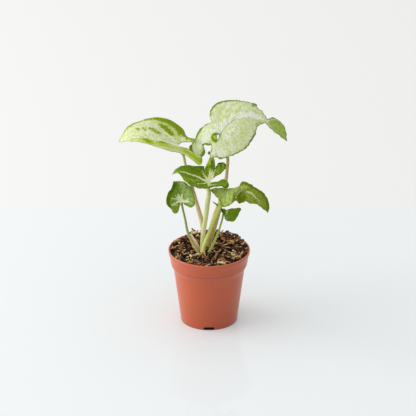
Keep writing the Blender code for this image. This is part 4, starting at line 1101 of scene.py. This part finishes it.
def stalk_look(name, top, middle, foot, left=None, streak=0.5):
    """Colour that runs from the blade down to the soil, with lengthwise streaks and small specks."""
    look = Look(name, 0.45, 0.25)
    around = look.attribute("around", "Vector")
    share = look.attribute("share")
    base = look.ramp(share, [(0.0, linear(*top)), (0.45, linear(*middle)), (0.85, linear(*foot))])
    if left:
        parts = look.tree.nodes.new("ShaderNodeSeparateXYZ")
        look.feed(parts.inputs[0], around)
        wander = look.math("MULTIPLY", look.math("SUBTRACT", look.noise(look.scaled(around, (1, 1, 0.06)), 1.5, 2), 0.5), 0.8)
        side = look.mask(look.math("ADD", parts.outputs["X"], wander), 0.15, -0.1)
        base = look.mix(side, base, linear(*left))
    fibres = look.noise(look.scaled(around, (1, 1, 0.05)), 5.0, 3, 0.6)
    base = look.mix(look.math("MULTIPLY", look.mask(fibres, 0.45, 0.65), streak), base, look.mix(0.45, base, linear(236, 232, 190)))
    specks = look.noise(look.scaled(around, (1.4, 1.4, 0.9)), 3.0, 2)
    base = look.mix(look.math("MULTIPLY", look.mask(specks, 0.66, 0.74), 0.55), base, linear(140, 92, 60))
    look.colour(base)
    look.bump(fibres, 0.12, 0.5)
    look.shader.inputs["Subsurface Weight"].default_value = 0.15
    look.shader.inputs["Subsurface Radius"].default_value = (0.8, 1.0, 0.4)
    look.shader.inputs["Subsurface Scale"].default_value = 1.2 * MM
    return look


STALK_COLOURS = {
    "a": dict(top=(164, 182, 96), middle=(200, 174, 122), foot=(210, 196, 146)),
    "b": dict(top=(138, 128, 78), middle=(184, 168, 94), foot=(192, 180, 92)),
    "c": dict(top=(160, 172, 92), middle=(202, 190, 132), foot=(204, 204, 140), left=(182, 196, 122)),
    "d": dict(top=(164, 184, 86), middle=(196, 200, 110), foot=(194, 192, 100)),
    "e": dict(top=(110, 132, 40), middle=(132, 140, 62), foot=(200, 176, 116)),
    "f": dict(top=(128, 152, 52), middle=(152, 168, 62), foot=(184, 190, 96)),
}


def floor():
    """A pale floor that fades into the wall's tone behind the pot; it glows faintly, a painted light that lifts its
    shadows, and under the pot's foot it is dark, a painted shadow.
    """
    mesh = bpy.data.meshes.new("studio_floor")
    r = FLOOR_RADIUS * MM
    mesh.from_pydata([(-r, -r, 0), (r, -r, 0), (r, r, 0), (-r, r, 0)], [], [(0, 1, 2, 3)])
    look = Look("studio_paper", 0.04, 0.1)
    place = look.tree.nodes.new("ShaderNodeTexCoord").outputs["Object"]
    parts = look.tree.nodes.new("ShaderNodeSeparateXYZ")
    look.feed(parts.inputs[0], place)
    far = look.mask(parts.outputs["Y"], HORIZON[0] * MM, HORIZON[1] * MM)
    reach = look.tree.nodes.new("ShaderNodeVectorMath")
    reach.operation = "LENGTH"
    look.feed(reach.inputs[0], place)
    # Painted shadow: inside the pot's foot the floor is dark and does not glow.
    clear = look.mask(reach.outputs["Value"], (FOOT_RADIUS - 1.0) * MM, (FOOT_RADIUS + 0.5) * MM)
    open_floor = look.mix(far, (0.65, 0.68, 0.69, 1), (0.675, 0.675, 0.66, 1))
    look.colour(look.mix(clear, (0.06, 0.04, 0.03, 1), open_floor))
    # Painted light: the floor glows a little, which lightens the shadows cast on it.
    look.feed(look.shader.inputs["Emission Color"], look.mix(clear, (0, 0, 0, 1), (1, 1, 1, 1)))
    look.shader.inputs["Emission Strength"].default_value = 0.12
    mesh.materials.append(look.material)
    piece = bpy.data.objects.new("studio_floor", mesh)
    bpy.context.scene.collection.objects.link(piece)


def area_light(name, place, target, width, height, power):
    light = bpy.data.lights.new(name, "AREA")
    light.shape = "RECTANGLE"
    light.size = width * MM
    light.size_y = height * MM
    light.energy = power
    lamp = bpy.data.objects.new(name, light)
    lamp.location = [MM * c for c in place]
    lamp.rotation_euler = (Vector(target) - Vector(place)).to_track_quat("-Z", "Y").to_euler()
    bpy.context.scene.collection.objects.link(lamp)


def studio():
    floor()
    area_light("window", (-1500, 0, 420), (0, 0, 70), 1700, 640, 21)
    world = bpy.data.worlds.new("studio_air")
    world.use_nodes = True
    background = world.node_tree.nodes["Background"]
    background.inputs["Color"].default_value = (1.0, 1.0, 1.0, 1)
    direction = world.node_tree.nodes.new("ShaderNodeTexCoord").outputs["Generated"]
    parts = world.node_tree.nodes.new("ShaderNodeSeparateXYZ")
    world.node_tree.links.new(direction, parts.inputs[0])
    side = world.node_tree.nodes.new("ShaderNodeMapRange")
    world.node_tree.links.new(parts.outputs["X"], side.inputs["Value"])
    for name, value in (("From Min", -1.0), ("From Max", 1.0), ("To Min", 1.21), ("To Max", 0.69)):
        side.inputs[name].default_value = value
    world.node_tree.links.new(side.outputs[0], background.inputs["Strength"])
    bpy.context.scene.world = world
    bpy.context.scene.view_settings.view_transform = "Standard"

    lens = bpy.data.cameras.new("camera")
    lens.lens = LENS
    lens.sensor_width = SENSOR
    lens.clip_end = 20
    camera = bpy.data.objects.new("camera", lens)
    pitch = math.radians(CAMERA_PITCH)
    ahead = Vector((0, math.cos(pitch), -math.sin(pitch)))
    camera.location = (Vector(CAMERA_TARGET) - ahead * CAMERA_DISTANCE) * MM
    camera.rotation_euler = (math.pi / 2 - pitch, 0, 0)
    bpy.context.scene.collection.objects.link(camera)
    bpy.context.scene.camera = camera


studio()
pot()
soil_bed()
bark()
for letter in LEAVES:
    blade(letter, leaf_look("blade_" + letter, **LEAF_COLOURS[letter]))
    tube("stalk_" + letter, stalk_route(letter), stalk_look("stalk_" + letter, **STALK_COLOURS[letter]),
         ["petiole_" + letter])
rolled_edges()
tube("root_on_bark", ROOT_ROUTE, stalk_look("pale_root", (206, 190, 150), (214, 200, 160), (220, 206, 170)),
     ["aerial_root"], ridges=3, ridge=0.1)
tube("rootlet", ROOTLET_ROUTE, stalk_look("thin_root", (190, 170, 110), (186, 150, 90), (150, 110, 66)))
tube("dry_sheath", SHEATH_ROUTE, stalk_look("dry_sheath", (250, 230, 198), (246, 216, 186), (238, 202, 170)),
     ["sheath"], flatness=0.3, ridges=9, ridge=0.05)
